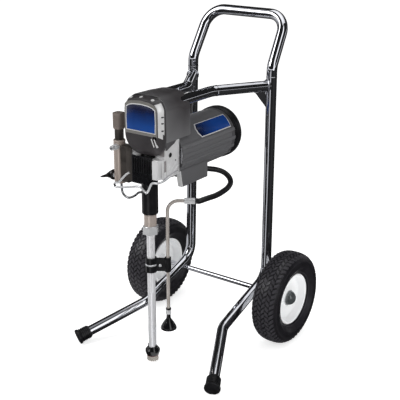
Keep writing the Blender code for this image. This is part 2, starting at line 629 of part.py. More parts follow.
def make_pump():
    base = Vector((0, PUMP_Y, 0))
    top = 0.5930 - CYLINDER_BOTTOM
    profile = [(CYLINDER_BORE, 0.0), (CYLINDER_R, 0.0), (CYLINDER_R, top), (PISTON_R + GAP, top),
               (PISTON_R + GAP, top - 0.016), (CYLINDER_BORE, top - 0.016)]
    piece("pump_cylinder", turned(profile, base + Vector((0, 0, CYLINDER_BOTTOM)), steps=20, ring=True), "nickel")

    top = HOUSING_BOTTOM - GAP - SLEEVE_BOTTOM
    hole = CYLINDER_R + GAP
    profile = [(hole, 0.0), (SLEEVE_R - 0.002, 0.0), (SLEEVE_R, 0.002), (SLEEVE_R, top), (hole, top)]
    piece("pump_sleeve", turned(profile, base + Vector((0, 0, SLEEVE_BOTTOM)), steps=20, ring=True),
          "black_plastic")

    nut = piece("intake_valve", rod(VALVE_R, (0, PUMP_Y, VALVE_BOTTOM), (0, PUMP_Y, CYLINDER_BOTTOM - GAP), 6),
                "zinc")
    cut(nut,
        rod(0.0095, (0, PUMP_Y, SEAT_Z), (0, PUMP_Y, 0.45)),
        rod(SEAT_HOLE, (0, PUMP_Y, 0.39), (0, PUMP_Y, 0.45), 12))
    ball = bmesh.new()
    bmesh.ops.create_icosphere(ball, subdivisions=2, radius=BALL_R)
    bmesh.ops.translate(ball, verts=ball.verts, vec=(0, PUMP_Y, BALL_Z))
    piece("intake_ball", ball, "steel", (0, PUMP_Y, BALL_Z))

    tip = VALVE_BOTTOM - GAP
    piece("siphon_tube", sleeve(SIPHON_R, SIPHON_R - 0.0015, (0, PUMP_Y, SIPHON_BOTTOM), (0, PUMP_Y, tip)),
          "chrome")
    hole = SIPHON_R + GAP
    seat = SIPHON_BOTTOM - GAP
    profile = [(0.0050, COLLAR_BOTTOM), (0.0185, COLLAR_BOTTOM), (0.0195, 0.0300), (0.0216, 0.0315),
               (0.0216, 0.0400), (0.0165, 0.0450), (0.0140, 0.0495), (hole, 0.0495), (hole, seat),
               (0.0050, seat)]
    piece("siphon_collar", turned(profile, base, ring=True), "black_plastic")
    rim = COLLAR_BOTTOM - GAP
    profile = [(0.0, 0.0040), (0.0140, 0.0040), (0.0172, 0.0070), (0.0172, rim), (0.0150, rim),
               (0.0140, 0.0070), (0.0, 0.0070)]
    piece("inlet_strainer", turned(profile, base), "grey_mesh")


# ---------------------------------------------------------------- return line

def make_return_line():
    near, far = (DRAIN + OUTWARD * reach + Vector((0, 0, RETURN_Z)) for reach in FERRULE)
    corner = DRAIN + Vector((0, 0, RETURN_Z))
    foot = DRAIN + Vector((0, 0, DRAIN_BOTTOM + GAP))
    tube("drain_tube", bent([near - OUTWARD * GAP, corner, foot], 0.0320, 6), "chrome", DRAIN_R, 0.0010, 2)

    piece("hose_ferrule", sleeve(FERRULE_R, 0.0035, near, far, 16), "zinc")

    profile = [(0.0035, 0.0), (0.0078, 0.0), (0.0078, -0.0136), (0.0060, -0.0140), (0.0066, -0.0270),
               (0.0130, -0.0370), (0.0233, -0.0550), (0.0233, -0.0610), (0.0213, -0.0610),
               (0.0213, -0.0560), (0.0110, -0.0390), (0.0035, -0.0290)]
    piece("drain_nozzle", turned(profile, foot - Vector((0, 0, GAP)), steps=12, ring=True), "black_plastic")

    clamp = piece("tube_clamp", rod(0.0160, (0, PUMP_Y, CLAMP[0]), (0, PUMP_Y, CLAMP[1]), 20), "black_plastic")
    centre = Vector((0, PUMP_Y, 0))
    across = Vector((DRAIN.x, DRAIN.y, 0)) - centre
    bridge = block((0.003, across.length - 0.002), (-0.0057, 0.0057), (CLAMP[0] + 0.003, CLAMP[1] - 0.003))
    turn = Matrix.Rotation(math.atan2(across.y, across.x), 4, "Z")
    bmesh.ops.transform(bridge, matrix=Matrix.Translation(centre) @ turn, verts=bridge.verts)
    join(clamp,
         bridge,
         rod(0.0092, (DRAIN.x, DRAIN.y, CLAMP[0] + 0.0005), (DRAIN.x, DRAIN.y, CLAMP[1] + 0.0005)))
    cut(clamp,
        rod(SIPHON_R + GAP, (0, PUMP_Y, 0.2), (0, PUMP_Y, 0.4)),
        rod(DRAIN_R + GAP, (DRAIN.x, DRAIN.y, 0.2), (DRAIN.x, DRAIN.y, 0.4)))

    barb_end = Vector((FILTER.x, FILTER.y + FILTER_R + 0.0150 + GAP, BARB_Z))
    route = [far + OUTWARD * GAP, far + OUTWARD * 0.0060, far + OUTWARD * 0.0120,
             Vector((0.1235, -0.2500, 0.5080)), Vector((0.1310, -0.2100, 0.5090)),
             Vector((0.1240, -0.1550, 0.5090)), Vector((0.1120, -0.1183, 0.5096)),
             Vector((0.0990, -0.0945, 0.5122)), Vector((0.0840, -0.0825, 0.5200)),
             Vector((0.0670, -0.0825, 0.5300)), Vector((0.0500, -0.0940, 0.5378)),
             Vector((0.0300, -0.1175, 0.5440)), Vector((0.0000, -0.1350, 0.5460)),
             Vector((-0.0360, -0.1430, 0.5440)), Vector((-0.0660, -0.1500, 0.5440)), Vector((-0.0790, -0.1800, 0.5450)),
             Vector((-0.0840, -0.2300, 0.5470)), Vector((-0.0950, -0.2800, 0.5560)),
             barb_end + Vector((0, 0.020, 0)), barb_end]
    bar("return_hose", smooth(route, 2), "rubber", HOSE_R, 2)


# ---------------------------------------------------------------- filter manifold

def make_filter():
    low, high = FILTER_SPAN
    at = Vector((FILTER.x, FILTER.y, 0))
    body = piece("filter_body", rod(FILTER_R, at + Vector((0, 0, low)), at + Vector((0, 0, high)), 20), "nickel")
    barb = Vector((FILTER.x, FILTER.y, BARB_Z))
    join(body,
         block((FILTER.x + 0.008, -HOUSING_HALF - GAP), (-0.3640, -0.3360), (0.5480, 0.6520)),
         rod(0.0055, barb, barb + Vector((0, FILTER_R + 0.0150, 0)), 12))
    cut(body, rod(0.0110, at + Vector((0, 0, 0.5460)), at + Vector((0, 0, high + 0.01))))

    cap = piece("filter_cap", rod(0.0115, at + Vector((0, 0, high + GAP)), at + Vector((0, 0, FILTER_NECK))),
                "nickel")
    join(cap, rod(0.0163, at + Vector((0, 0, FILTER_NECK - 0.001)), at + Vector((0, 0, FILTER_TOP)), 20))

    element = sleeve(0.0085, 0.0060, at + Vector((0, 0, 0.5480)), at + Vector((0, 0, high - 0.003)), 12)
    piece("filter_element", element, "grey_mesh")

    shell = rod(FILTER_R + GAP, at + Vector((0, 0, low - 0.01)), at + Vector((0, 0, high + 0.01)), 20)
    nut = OUTLET + Vector((0, -0.0150, 0))
    tip = OUTLET + Vector((0, -0.0270, 0))
    fitting = piece("outlet_fitting", rod(0.0092, OUTLET, nut, 6), "zinc")
    join(fitting, rod(0.0070, nut + Vector((0, 0.001, 0)), tip, 12))
    cut(fitting, shell.copy(), rod(0.0038, OUTLET + Vector((0, 0.01, 0)), tip + Vector((0, -0.01, 0)), 12))

    hub = PRIME + Vector((-0.0060, 0, 0))
    valve = piece("prime_valve", rod(0.0088, PRIME, hub, 6), "zinc")
    cut(valve, shell)

    joint = hub + Vector((-GAP, 0, 0))
    grip = joint.x - 0.0070
    handle = piece("prime_handle", rod(0.0150, joint, (grip, joint.y, joint.z)), "black_plastic", joint)
    lever = [(0.004, -0.0110), (0.004, 0.0120), (-0.010, 0.0095), (-0.022, 0.0055), (-0.046, 0.0055),
             (-0.046, 0.0025), (-0.022, -0.0030), (-0.010, -0.0090)]
    lever = [(joint.y + y, joint.z + z) for y, z in lever]
    join(handle, prism(lever, grip - 0.0060, grip + 0.001, "X"))

    loop = [Vector((-0.0985, FILTER.y, low - GAP)), Vector((-0.0980, FILTER.y, 0.5280)),
            Vector((-0.0940, FILTER.y, 0.5080)), Vector((-0.0760, FILTER.y, 0.4985)),
            Vector((-0.0535, FILTER.y, 0.5075)), Vector((-0.0370, FILTER.y, 0.5210)),
            Vector((-SLEEVE_R - 0.0030, FILTER.y, 0.5250))]
    bar("transfer_tube", smooth(loop), "steel", 0.0034, 1)


def make_pail_hook():
    """One bent wire: from the housing's right side round the front, down to a V for the pail, and back."""
    front = -0.3805
    right = HOUSING_HALF + 0.0040
    route = [Vector((right, -0.3000, 0.5900)), Vector((right, -0.3350, 0.5850)),
             Vector((right - 0.0005, -0.3660, 0.5780)), Vector((0.0540, front, 0.5740)),
             Vector((0.0350, front, 0.5700)), Vector((0.0250, front, 0.5520)),
             Vector((0.0160, front, 0.5390)), Vector((0.0060, front, 0.5440)),
             Vector((-0.0100, front, 0.5520)), Vector((-0.0450, front, 0.5440)),
             Vector((-0.0850, front, 0.5355)), Vector((-0.0960, front, 0.5360)),
             Vector((-0.1000, front + 0.0005, 0.5420)), Vector((-0.0950, front + 0.0010, 0.5470)),
             Vector((-0.0840, front + 0.0010, 0.5500)), Vector((-0.0720, front + 0.0020, 0.5630)),
             Vector((-0.0600, -0.3765, 0.5760)), Vector((-0.0480, -0.3756, 0.5840))]
    bar("pail_hook", smooth(route, 2), "zinc", 0.0032, 1)


# ---------------------------------------------------------------- electrical box

def saddle(half, low, clearance):
    """An outline below the motor: flat bottom and sides, with a top that follows the motor's cowl."""
    radius = COWL_R + RIB + clearance
    turn = math.degrees(math.asin(half / radius))
    return [(-half, low), (half, low), *arc((0, MOTOR_Z), radius, -90 + turn, -90 - turn, 10)]


def lean(bm, y_from, y_to):
    """Slant the face at y_from, so that it leans forward with height, and move it to y_to at the bottom."""
    for vert in bm.verts:
        if abs(vert.co.y - y_from) < 1e-6:
            vert.co.y = y_to - BOX_SLANT * (vert.co.z - BOX_BOTTOM)
    return bm


def make_box():
    outer = lean(prism(saddle(BOX_HALF, BOX_BOTTOM, GAP), BOX_FRONT, BOX_BACK), BOX_FRONT, BOX_FRONT)
    box = piece("control_box", outer, "charcoal_paint")
    join(box, block((PANEL_OUT, -BOX_HALF + 0.001), PANEL_SPAN, PANEL_HEIGHT))
    cut(box,
        block((NOTCH[0], NOTCH[1]), (BOX_FRONT - 0.03, NOTCH_BACK), (BOX_BOTTOM - 0.01, 0.6300)),
        block((NOTCH[0] + 0.004, NOTCH[1] - 0.004), (BOX_FRONT - 0.03, BOX_BACK - 0.0030),
              (BOX_BOTTOM + 0.0030, 0.5525)))
    cut(box, block((PANEL_OUT + 0.0030, -0.0500), (PANEL_SPAN[0] + 0.003, PANEL_SPAN[1] - 0.003),
                   (0.5480, PANEL_HEIGHT[1] - 0.0030)))

    strip = [(x, z) for x, z in saddle(BOX_HALF, BOX_BOTTOM, GAP) if x > NOTCH[1]]
    lid = prism([(NOTCH[1], BOX_BOTTOM), *strip, (NOTCH[1], strip[-1][1] - 0.0040)], -0.5, -0.4)
    lid = lean(lean(lid, -0.5, BOX_FRONT - 0.0043), -0.4, BOX_FRONT - GAP)
    piece("box_front_plate", lid, "zinc")

    piece("circuit_board", block((NOTCH[0] + 0.006, NOTCH[1] - 0.006), (-0.212, -0.168), (0.5430, 0.5446)), "green_board")

    knob_at = Vector((PANEL_OUT - GAP, KNOB_Y, sum(PANEL_HEIGHT) / 2))
    profile = [(0.0, 0.0), (0.0125, 0.0), (0.0125, 0.0120), (0.0105, 0.0150), (0.0, 0.0150)]
    knob = piece("pressure_knob", turned(profile, knob_at, (-1, 0, 0), 20), "black_plastic", knob_at)
    join(knob, block((knob_at.x - 0.0165, knob_at.x - 0.0140), (KNOB_Y - 0.0015, KNOB_Y + 0.0015),
                     (knob_at.z, knob_at.z + 0.0110)))

    switch_at = Vector((PANEL_OUT + 0.0010, SWITCH_Y, sum(PANEL_HEIGHT) / 2))
    cut(box, block((PANEL_OUT - 0.01, -0.0500), (SWITCH_Y - 0.0115, SWITCH_Y + 0.0115),
                   (switch_at.z - 0.0085, switch_at.z + 0.0085)))
    rocker = [(switch_at.x - 0.0045, SWITCH_Y - 0.0095), (switch_at.x - 0.0025, SWITCH_Y),
              (switch_at.x - 0.0045, SWITCH_Y + 0.0095), (switch_at.x + 0.0060, SWITCH_Y + 0.0075),
              (switch_at.x + 0.0060, SWITCH_Y - 0.0075)]
    toggle = prism(rocker, switch_at.z - 0.0075, switch_at.z + 0.0075, "Z")
    bmesh.ops.rotate(toggle, verts=toggle.verts, cent=switch_at, matrix=Matrix.Rotation(-SWITCH_TILT, 3, "Z"))
    piece("power_switch", toggle, "black_plastic", switch_at)


side_top = make_handle()
for which in (-1, 1):
    make_side(which, side_top)
    make_wheel(which)
make_axle()
make_housing()
make_shroud()
make_cover()
make_motor()
make_gears()
make_drive_rod()
make_pump()
make_return_line()
make_filter()
make_pail_hook()
make_box()
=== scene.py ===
import math
import bpy
from mathutils import Matrix, Vector


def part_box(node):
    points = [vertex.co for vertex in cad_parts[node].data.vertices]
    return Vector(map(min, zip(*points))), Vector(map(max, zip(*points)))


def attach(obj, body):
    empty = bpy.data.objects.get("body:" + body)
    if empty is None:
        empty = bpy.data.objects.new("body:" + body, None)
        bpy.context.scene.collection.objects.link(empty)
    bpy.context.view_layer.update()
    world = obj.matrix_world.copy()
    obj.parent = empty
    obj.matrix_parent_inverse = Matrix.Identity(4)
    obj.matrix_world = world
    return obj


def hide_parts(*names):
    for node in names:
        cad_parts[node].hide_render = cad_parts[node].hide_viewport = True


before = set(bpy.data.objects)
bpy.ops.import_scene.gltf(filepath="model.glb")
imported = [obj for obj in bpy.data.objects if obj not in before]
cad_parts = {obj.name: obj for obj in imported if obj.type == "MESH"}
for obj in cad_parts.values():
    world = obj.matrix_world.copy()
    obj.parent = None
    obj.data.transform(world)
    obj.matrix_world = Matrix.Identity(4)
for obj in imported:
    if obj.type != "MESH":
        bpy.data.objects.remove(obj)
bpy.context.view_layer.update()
axleLow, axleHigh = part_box("axle")
axleY = (axleLow.y + axleHigh.y) / 2   # lengths along Y below are measured from the axle
upward = (0, 0, 1)
print("frame loaded, axle at y", round(axleY, 4))


def at(x, y, z):
    return Vector((x, y + axleY, z))


def deselect():
    if bpy.context.object and bpy.context.object.mode != "OBJECT":
        bpy.ops.object.mode_set(mode="OBJECT")
    bpy.ops.object.select_all(action="DESELECT")


view = {"place": (1.46307368, -2.13602382, 1.33672513), "turn": 0.625470295, "drop": 0.345596129,
        "roll": 0.001904652, "lens": 79.5508}


def setCamera():
    az, el, roll = view["turn"], view["drop"], view["roll"]
    back = Vector((math.sin(az) * math.cos(el), -math.cos(az) * math.cos(el), math.sin(el)))
    right = Vector((math.cos(az), math.sin(az), 0.0))
    up = back.cross(right)
    rightRolled = right * math.cos(roll) + up * math.sin(roll)
    upRolled = up * math.cos(roll) - right * math.sin(roll)
    bpy.ops.object.camera_add()
    camera = bpy.context.object
    camera.name = "camera"
    camera.matrix_world = Matrix((rightRolled, upRolled, back)).transposed().to_4x4()
    camera.matrix_world.translation = at(*view["place"])
    camera.data.lens = view["lens"]
    camera.data.sensor_width = 36
    bpy.context.scene.camera = camera


deselect()
setCamera()


def link(tree, start, outlet, end, inlet):
    tree.links.new(start.outputs[outlet], end.inputs[inlet])


# a new node with fixed inputs; feeds says which output of which node goes to each of the other inputs
def added(tree, kind, fixed=None, feeds=None):
    made = tree.nodes.new("ShaderNode" + kind)
    for inlet, value in (fixed or {}).items():
        made.inputs[inlet].default_value = value
    for inlet, (start, outlet) in (feeds or {}).items():
        link(tree, start, outlet, made, inlet)
    return made


def ramped(tree, stops):
    made = added(tree, "ValToRGB")
    ramp = made.color_ramp
    while len(ramp.elements) < len(stops):
        ramp.elements.new(0.5)
    for element, (spot, colour) in zip(ramp.elements, stops):
        element.position = spot
        element.color = (*colour, 1)
    return made


def glowing(stops, blue=1.02):
    return [(spot, (glow, glow, glow * blue)) for spot, glow in stops]


def radial(tree, coords, outlet):
    made = added(tree, "TexGradient", feeds={"Vector": (coords, outlet)})
    made.gradient_type = "RADIAL"
    return made


def spotted(tree, place, scale, detail=3.0):
    return added(tree, "TexNoise", {"Scale": scale, "Detail": detail}, {"Vector": (place, "Vector")})


def blank(name):
    made = bpy.data.materials.new(name)
    made.use_nodes = True
    return made, made.node_tree, made.node_tree.nodes["Principled BSDF"]


# roughness and fine relief both follow a noise
def surfaced(tree, shader, gloss, low, high, grain, bump, depth):
    polish = added(tree, "MapRange", {"To Min": low, "To Max": high}, {"Value": (gloss, "Fac")})
    link(tree, polish, "Result", shader, "Roughness")
    relief = added(tree, "Bump", {"Strength": bump, "Distance": depth}, {"Height": (grain, "Fac")})
    link(tree, relief, "Normal", shader, "Normal")


# dark and light are the two ends of the colour's variation; the edge colour is painted on sharp convex edges,
# partly as rubbed wear and partly as a painted highlight along ribs and block edges
def skin(name, dark, light, rough, metal=0.0, patches=18.0, grain=600.0, bump=0.05, spread=0.06,
         stretch=(1, 1, 1), coat=0.0, edgeWearAndHighlight=None):
    made, tree, shader = blank(name)
    shader.inputs["Metallic"].default_value = metal
    shader.inputs["Coat Weight"].default_value = coat
    shader.inputs["Coat Roughness"].default_value = 0.15
    place = added(tree, "Mapping", {"Scale": stretch}, {"Vector": (added(tree, "TexCoord"), "Object")})
    tint = ramped(tree, [(0.35, dark), (0.65, light)])
    link(tree, spotted(tree, place, patches), "Fac", tint, "Fac")
    colour = (tint, "Color")
    # sharp edges found by pointiness get the lighter edge colour: rubbed wear plus a painted highlight
    if edgeWearAndHighlight:
        reach = added(tree, "MapRange", {"From Min": 0.53, "From Max": 0.62},
                      {"Value": (added(tree, "NewGeometry"), "Pointiness")})
        mix = added(tree, "Mix")
        mix.data_type = "RGBA"
        link(tree, reach, "Result", mix, "Factor")
        link(tree, tint, "Color", mix, "A")
        mix.inputs[7].default_value = (*edgeWearAndHighlight, 1)
        colour = (mix, 2)
    link(tree, *colour, shader, "Base Color")
    surfaced(tree, shader, spotted(tree, place, patches * 4, 4.0), max(0.01, rough - spread),
             rough + spread, spotted(tree, place, grain, 2.0), bump, 0.0004)
    return made


finishes = {
    "chrome": skin("chromePlate", (0.62, 0.63, 0.67), (0.7, 0.71, 0.75), 0.028, 1.0, 9, 60, 0.01, 0.012),
    "castAluminium": skin("castAluminium", (0.58, 0.57, 0.575), (0.76, 0.75, 0.75), 0.4, 0.45, 60, 900, 0.4,
                          0.08, edgeWearAndHighlight=(0.85, 0.85, 0.86)),
    "zinc": skin("zincPlate", (0.64, 0.65, 0.67), (0.82, 0.825, 0.835), 0.2, 0.5, 20, 500, 0.12, 0.04),
    "brushed": skin("brushedTube", (0.76, 0.77, 0.8), (0.9, 0.9, 0.92), 0.28, 0.45, 14, 500, 0.12, 0.05,
                    stretch=(1, 1, 0.08)),
    # silver for the trims; on the cover's flanks beside the badge it is a painted highlight
    "trimAndHighlight": skin("silverTrimAndPaintedHighlight", (0.68, 0.68, 0.68), (0.8, 0.8, 0.8), 0.3, 0.35, 30, 700, 0.12, 0.05),
    "hub": skin("hubCap", (0.095, 0.105, 0.108), (0.14, 0.15, 0.153), 0.14, 0.55, 30, 500, 0.06, 0.05),
    # painted shadow: a dark brownish copy of the cast and nickel colours, for parts where the filter and
    # housing fall in shade
    "paintedShadowBronze": skin("bronzePaintedShadow", (0.05, 0.043, 0.039), (0.085, 0.075, 0.068), 0.34, 0.5, 40, 700,
                        0.2, 0.06),
    # painted shade: a darker copy of the charcoal paint, standing in for the shade on the motor cowl and the
    # parts under it
    "cowlPaintDarkenedForShade": skin("cowlPaintDarkenedForShade", (0.019, 0.0172, 0.0186), (0.0265, 0.024, 0.0258), 0.36, 0.0, 25, 1100,
                      0.22, 0.05, coat=0.2, edgeWearAndHighlight=(0.1, 0.1, 0.105)),
    "nickel": skin("warmNickel", (0.47, 0.395, 0.35), (0.6, 0.52, 0.47), 0.19, 0.48, 16, 300, 0.02, 0.03,
                   stretch=(1, 1, 0.12)),
    "darkNickel": skin("dullNickel", (0.24, 0.2, 0.18), (0.34, 0.29, 0.26), 0.26, 0.5, 16, 300, 0.03, 0.04),
    "paleNickel": skin("paleNickel", (0.56, 0.51, 0.47), (0.68, 0.63, 0.59), 0.22, 0.55, 20, 300, 0.02, 0.03),
    # painted shade: a greyer copy of the cast aluminium, for the housing's recesses where shade falls
    "paintedRecessShade": skin("castingPaintedShade", (0.27, 0.255, 0.255), (0.36, 0.34, 0.34), 0.5, 0.3, 60, 900, 0.4, 0.06),
    "steel": skin("turnedSteel", (0.42, 0.43, 0.45), (0.6, 0.61, 0.63), 0.28, 1.0, 40, 700, 0.2, 0.07),
    "charcoal": skin("charcoalPaint", (0.03, 0.027, 0.029), (0.04, 0.036, 0.0385), 0.4, 0.0, 25, 1100, 0.22,
                     0.05, coat=0.12, edgeWearAndHighlight=(0.13, 0.13, 0.135)),
    "bezel": skin("bezelPaint", (0.12, 0.116, 0.104), (0.165, 0.158, 0.142), 0.36, 0.25, 30, 1000, 0.18, 0.05,
                  coat=0.15, edgeWearAndHighlight=(0.3, 0.29, 0.29)),
    "black": skin("blackPlastic", (0.004, 0.004, 0.005), (0.008, 0.008, 0.009), 0.32, 0.0, 40, 900,
                  0.15, 0.07),
    "glossBlack": skin("glossBlackPlastic", (0.003, 0.003, 0.004), (0.006, 0.006, 0.007), 0.14, 0.0, 40, 500,
                       0.05, 0.04, coat=0.5),
    "rubber": skin("hoseRubber", (0.005, 0.005, 0.006), (0.01, 0.01, 0.012), 0.36, 0.0, 50, 900, 0.3, 0.08),
    "tyre": skin("tyreRubber", (0.006, 0.0055, 0.0075), (0.013, 0.012, 0.0155), 0.38, 0.0, 60, 900, 0.35, 0.1,
                 edgeWearAndHighlight=(0.04, 0.038, 0.045)),
    "white": skin("rimPlastic", (0.9, 0.91, 0.92), (0.95, 0.955, 0.96), 0.36, 0.0, 14, 500, 0.12, 0.06),
    "mesh": skin("strainerMesh", (0.22, 0.2, 0.18), (0.5, 0.47, 0.43), 0.55, 0.1, 300, 700, 0.8, 0.08),
    "board": skin("greenBoard", (0.02, 0.15, 0.05), (0.04, 0.26, 0.1), 0.4, 0.0, 200, 900, 0.2, 0.06),
    "maroon": skin("maroonGasket", (0.08, 0.02, 0.02), (0.15, 0.045, 0.04), 0.5, 0.0, 80, 900, 0.3, 0.06),
}


# a printed plate whose blue fades from low to high along one axis
def blueSkin(name, low, high, axis, start, end, shine=0.22):
    made, tree, shader = blank(name)
    shader.inputs["Coat Weight"].default_value = 0.6
    shader.inputs["Coat Roughness"].default_value = 0.12
    coords = added(tree, "TexCoord")
    split = added(tree, "SeparateXYZ", feeds={"Vector": (coords, "Object")})
    reach = added(tree, "MapRange", {"From Min": start, "From Max": end}, {"Value": (split, axis)})
    noise = added(tree, "TexNoise", {"Scale": 35}, {"Vector": (coords, "Object")})
    wave = added(tree, "Math", {1: 0.3, 2: -0.15})
    wave.operation = "MULTIPLY_ADD"
    link(tree, noise, "Fac", wave, 0)
    total = added(tree, "Math", feeds={0: (reach, "Result"), 1: (wave, "Value")})
    total.operation = "ADD"
    tint = ramped(tree, [(0.0, low), (1.0, high)])
    link(tree, total, "Value", tint, "Fac")
    link(tree, tint, "Color", shader, "Base Color")
    surfaced(tree, shader, noise, shine - 0.05, shine + 0.08, noise, 0.05, 0.0002)
    return made


finishes["badge"] = blueSkin("badgeBlue", (0.003, 0.045, 0.22), (0.0015, 0.004, 0.03), "Z", 0.722, 0.77)
finishes["label"] = blueSkin("labelBlue", (0.001, 0.003, 0.018), (0.003, 0.042, 0.22), "Y", axleY - 0.2,
                             axleY - 0.12)


def editAll():
    bpy.ops.object.mode_set(mode="EDIT")
    bpy.ops.mesh.select_all(action="SELECT")


# finish a modelled piece: outward normals, smooth shading, material, and its body
def settle(made, name, finish, nodes=(), angle=32, body="sprayer"):
    deselect()
    made.select_set(True)
    bpy.context.view_layer.objects.active = made
    bpy.ops.object.transform_apply(location=True, rotation=True, scale=True)
    editAll()
    bpy.ops.mesh.remove_doubles(threshold=1e-6)
    bpy.ops.mesh.normals_make_consistent(inside=False)
    bpy.ops.object.mode_set(mode="OBJECT")
    bpy.ops.object.shade_smooth_by_angle(angle=math.radians(angle))
    made.name = name
    made.data.name = name
    made.data.materials.clear()
    made.data.materials.append(finishes[finish])
    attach(made, body)
    if nodes:
        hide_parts(*nodes)
    return made


def bevelled(made, width, segments=2, angle=30):
    bevel = made.modifiers.new("bevel", "BEVEL")
    bevel.width = width
    bevel.segments = segments
    bevel.limit_method = "ANGLE"
    bevel.angle_limit = math.radians(angle)
    bevel.harden_normals = False
    bpy.context.view_layer.objects.active = made
    bpy.ops.object.modifier_apply(modifier="bevel")
    return made


# a loop of edges through the points, filled or open
def outlined(points, fill="NGON"):
    deselect()
    bpy.ops.mesh.primitive_circle_add(vertices=len(points), radius=1, fill_type=fill)
    made = bpy.context.object
    for vert, point in zip(made.data.vertices, points):
        vert.co = point
    return made


# spin a profile of (radius, distance along the axis) points
def turned(profile, start, along, steps=56):
    made = outlined([(radius, 0, height) for radius, height in profile], "NOTHING")
    editAll()
    bpy.ops.mesh.spin(steps=steps, angle=math.tau, center=(0, 0, 0), axis=(0, 0, 1))
    bpy.ops.mesh.select_all(action="SELECT")
    bpy.ops.mesh.remove_doubles(threshold=1e-6)
    bpy.ops.mesh.dissolve_degenerate(threshold=1e-7)
    bpy.ops.mesh.select_all(action="SELECT")
    bpy.ops.mesh.delete_loose()
    bpy.ops.object.mode_set(mode="OBJECT")
    return aimed(made, start, along)


# move a shape made up the Z axis to its start and direction
def aimed(made, start, along, lift=0.0):
    turn = Vector((0, 0, 1)).rotation_difference(Vector(along)).to_matrix().to_4x4()
    made.data.transform(Matrix.Translation(Vector(start)) @ turn @ Matrix.Translation((0, 0, lift)))
    return made


# turn a shape about a line along Y through the centre
def tipped(made, x, z, angle):
    centre = Matrix.Translation((x, 0, z))
    made.data.transform(centre @ Matrix.Rotation(angle, 4, "Y") @ centre.inverted())
    return made


# extrude a closed outline along an axis
def slab(outline, low, high, axis="Y"):
    spot = {"X": lambda a, b: (low, a, b), "Y": lambda a, b: (a, low, b), "Z": lambda a,
            b: (a, b, low)}[axis]
    step = {"X": (1, 0, 0), "Y": (0, 1, 0), "Z": (0, 0, 1)}[axis]
    made = outlined([spot(a, b) for a, b in outline])
    editAll()
    bpy.ops.mesh.extrude_region_move(TRANSFORM_OT_translate={"value": tuple(Vector(step) * (high - low))})
    bpy.ops.mesh.select_all(action="SELECT")
    bpy.ops.mesh.normals_make_consistent(inside=False)
    bpy.ops.object.mode_set(mode="OBJECT")
    return made


def thickened(made, thick, offset):
    bpy.context.view_layer.objects.active = made
    wall = made.modifiers.new("wall", "SOLIDIFY")
    wall.thickness = thick
    wall.offset = offset
    bpy.ops.object.modifier_apply(modifier="wall")
    return made


# take off the faces that are open and give the rest a wall, grown inwards
def shell(made, thick, faceIsOpen):
    deselect()
    made.select_set(True)
    bpy.context.view_layer.objects.active = made
    editAll()
    bpy.ops.mesh.normals_make_consistent(inside=False)
    bpy.ops.mesh.select_mode(type="FACE")
    bpy.ops.mesh.select_all(action="DESELECT")
    bpy.ops.object.mode_set(mode="OBJECT")
    for face in made.data.polygons:
        face.select = faceIsOpen(face)
    bpy.ops.object.mode_set(mode="EDIT")
    bpy.ops.mesh.delete(type="FACE")
    bpy.ops.mesh.select_mode(type="VERT")
    bpy.ops.object.mode_set(mode="OBJECT")
    return thickened(made, thick, -1)


# a block between coordinates, ySpan measured from the axle, with rounded edges
def box(xSpan, ySpan, zSpan, rounding=0.0008):
    (x0, x1), (y0, y1), (z0, z1) = xSpan, ySpan, zSpan
    made = slab([(x0, z0), (x1, z0), (x1, z1), (x0, z1)], y0 + axleY, y1 + axleY)
    return bevelled(made, rounding)


# a round bar or tube along a path, drawn as a curve and turned into a mesh
def pipe(path, radius, around=8, caps=True):
    deselect()
    bpy.ops.curve.primitive_bezier_curve_add()
    made = bpy.context.object
    made.data.splines.clear()
    spline = made.data.splines.new("POLY")
    spline.points.add(len(path) - 1)
    for point, place in zip(spline.points, path):
        point.co = (*place, 1.0)
    made.data.dimensions = "3D"
    made.data.bevel_depth = radius
    made.data.bevel_resolution = around
    made.data.use_fill_caps = caps
    made.select_set(True)
    bpy.ops.object.convert(target="MESH")
    return bpy.context.object


def joined(first, *rest):
    deselect()
    for made in (first, *rest):
        made.select_set(True)
    bpy.context.view_layer.objects.active = first
    bpy.ops.object.join()
    return first


# the centre line of a tube that turns at each corner with the given bend radius
def bent(corners, radius, steps=14):
    path = [corners[0]]
    for before, corner, after in zip(corners, corners[1:], corners[2:]):
        inward = (before - corner).normalized()
        outward = (after - corner).normalized()
        half = inward.angle(outward) / 2
        reach = radius / math.tan(half)
        centre = corner + (inward + outward).normalized() * (radius / math.sin(half))
        first = (corner + inward * reach - centre).normalized()
        last = (corner + outward * reach - centre).normalized()
        path += [centre + first.slerp(last, step / steps) * radius for step in range(steps + 1)]
    return path + [corners[-1]]


# points on a Catmull-Rom curve through the given points
def smooth(points, perSpan=6):
    ends = [points[0] * 2 - points[1], *points, points[-1] * 2 - points[-2]]
    path = []
    for a, b, c, d in zip(ends, ends[1:], ends[2:], ends[3:]):
        for step in range(perSpan):
            t = step / perSpan
            path.append(0.5 * (2 * b + (c - a) * t + (2 * a - 5 * b + 4 * c - d) * t * t
                               + (3 * b - a - 3 * c + d) * t * t * t))
    return path + [points[-1]]


def arc(centre, radius, start, end, steps):
    angles = [math.radians(start + (end - start) * step / steps) for step in range(steps + 1)]
    return [(centre[0] + radius * math.cos(a), centre[1] + radius * math.sin(a)) for a in angles]


def mirrored(point, side):
    return Vector((point.x * side, point.y, point.z))


hose = {"radius": 0.008, "start": (0.0473, 0.0775), "height": 0.505, "barb": (-0.1015, -0.3197, 0.5605)}
drainAt = at(0.04, -0.3205, 0.0)
outward = Vector((0.04, 0.0265, 0.0)).normalized()   # from the pump past the drain tube


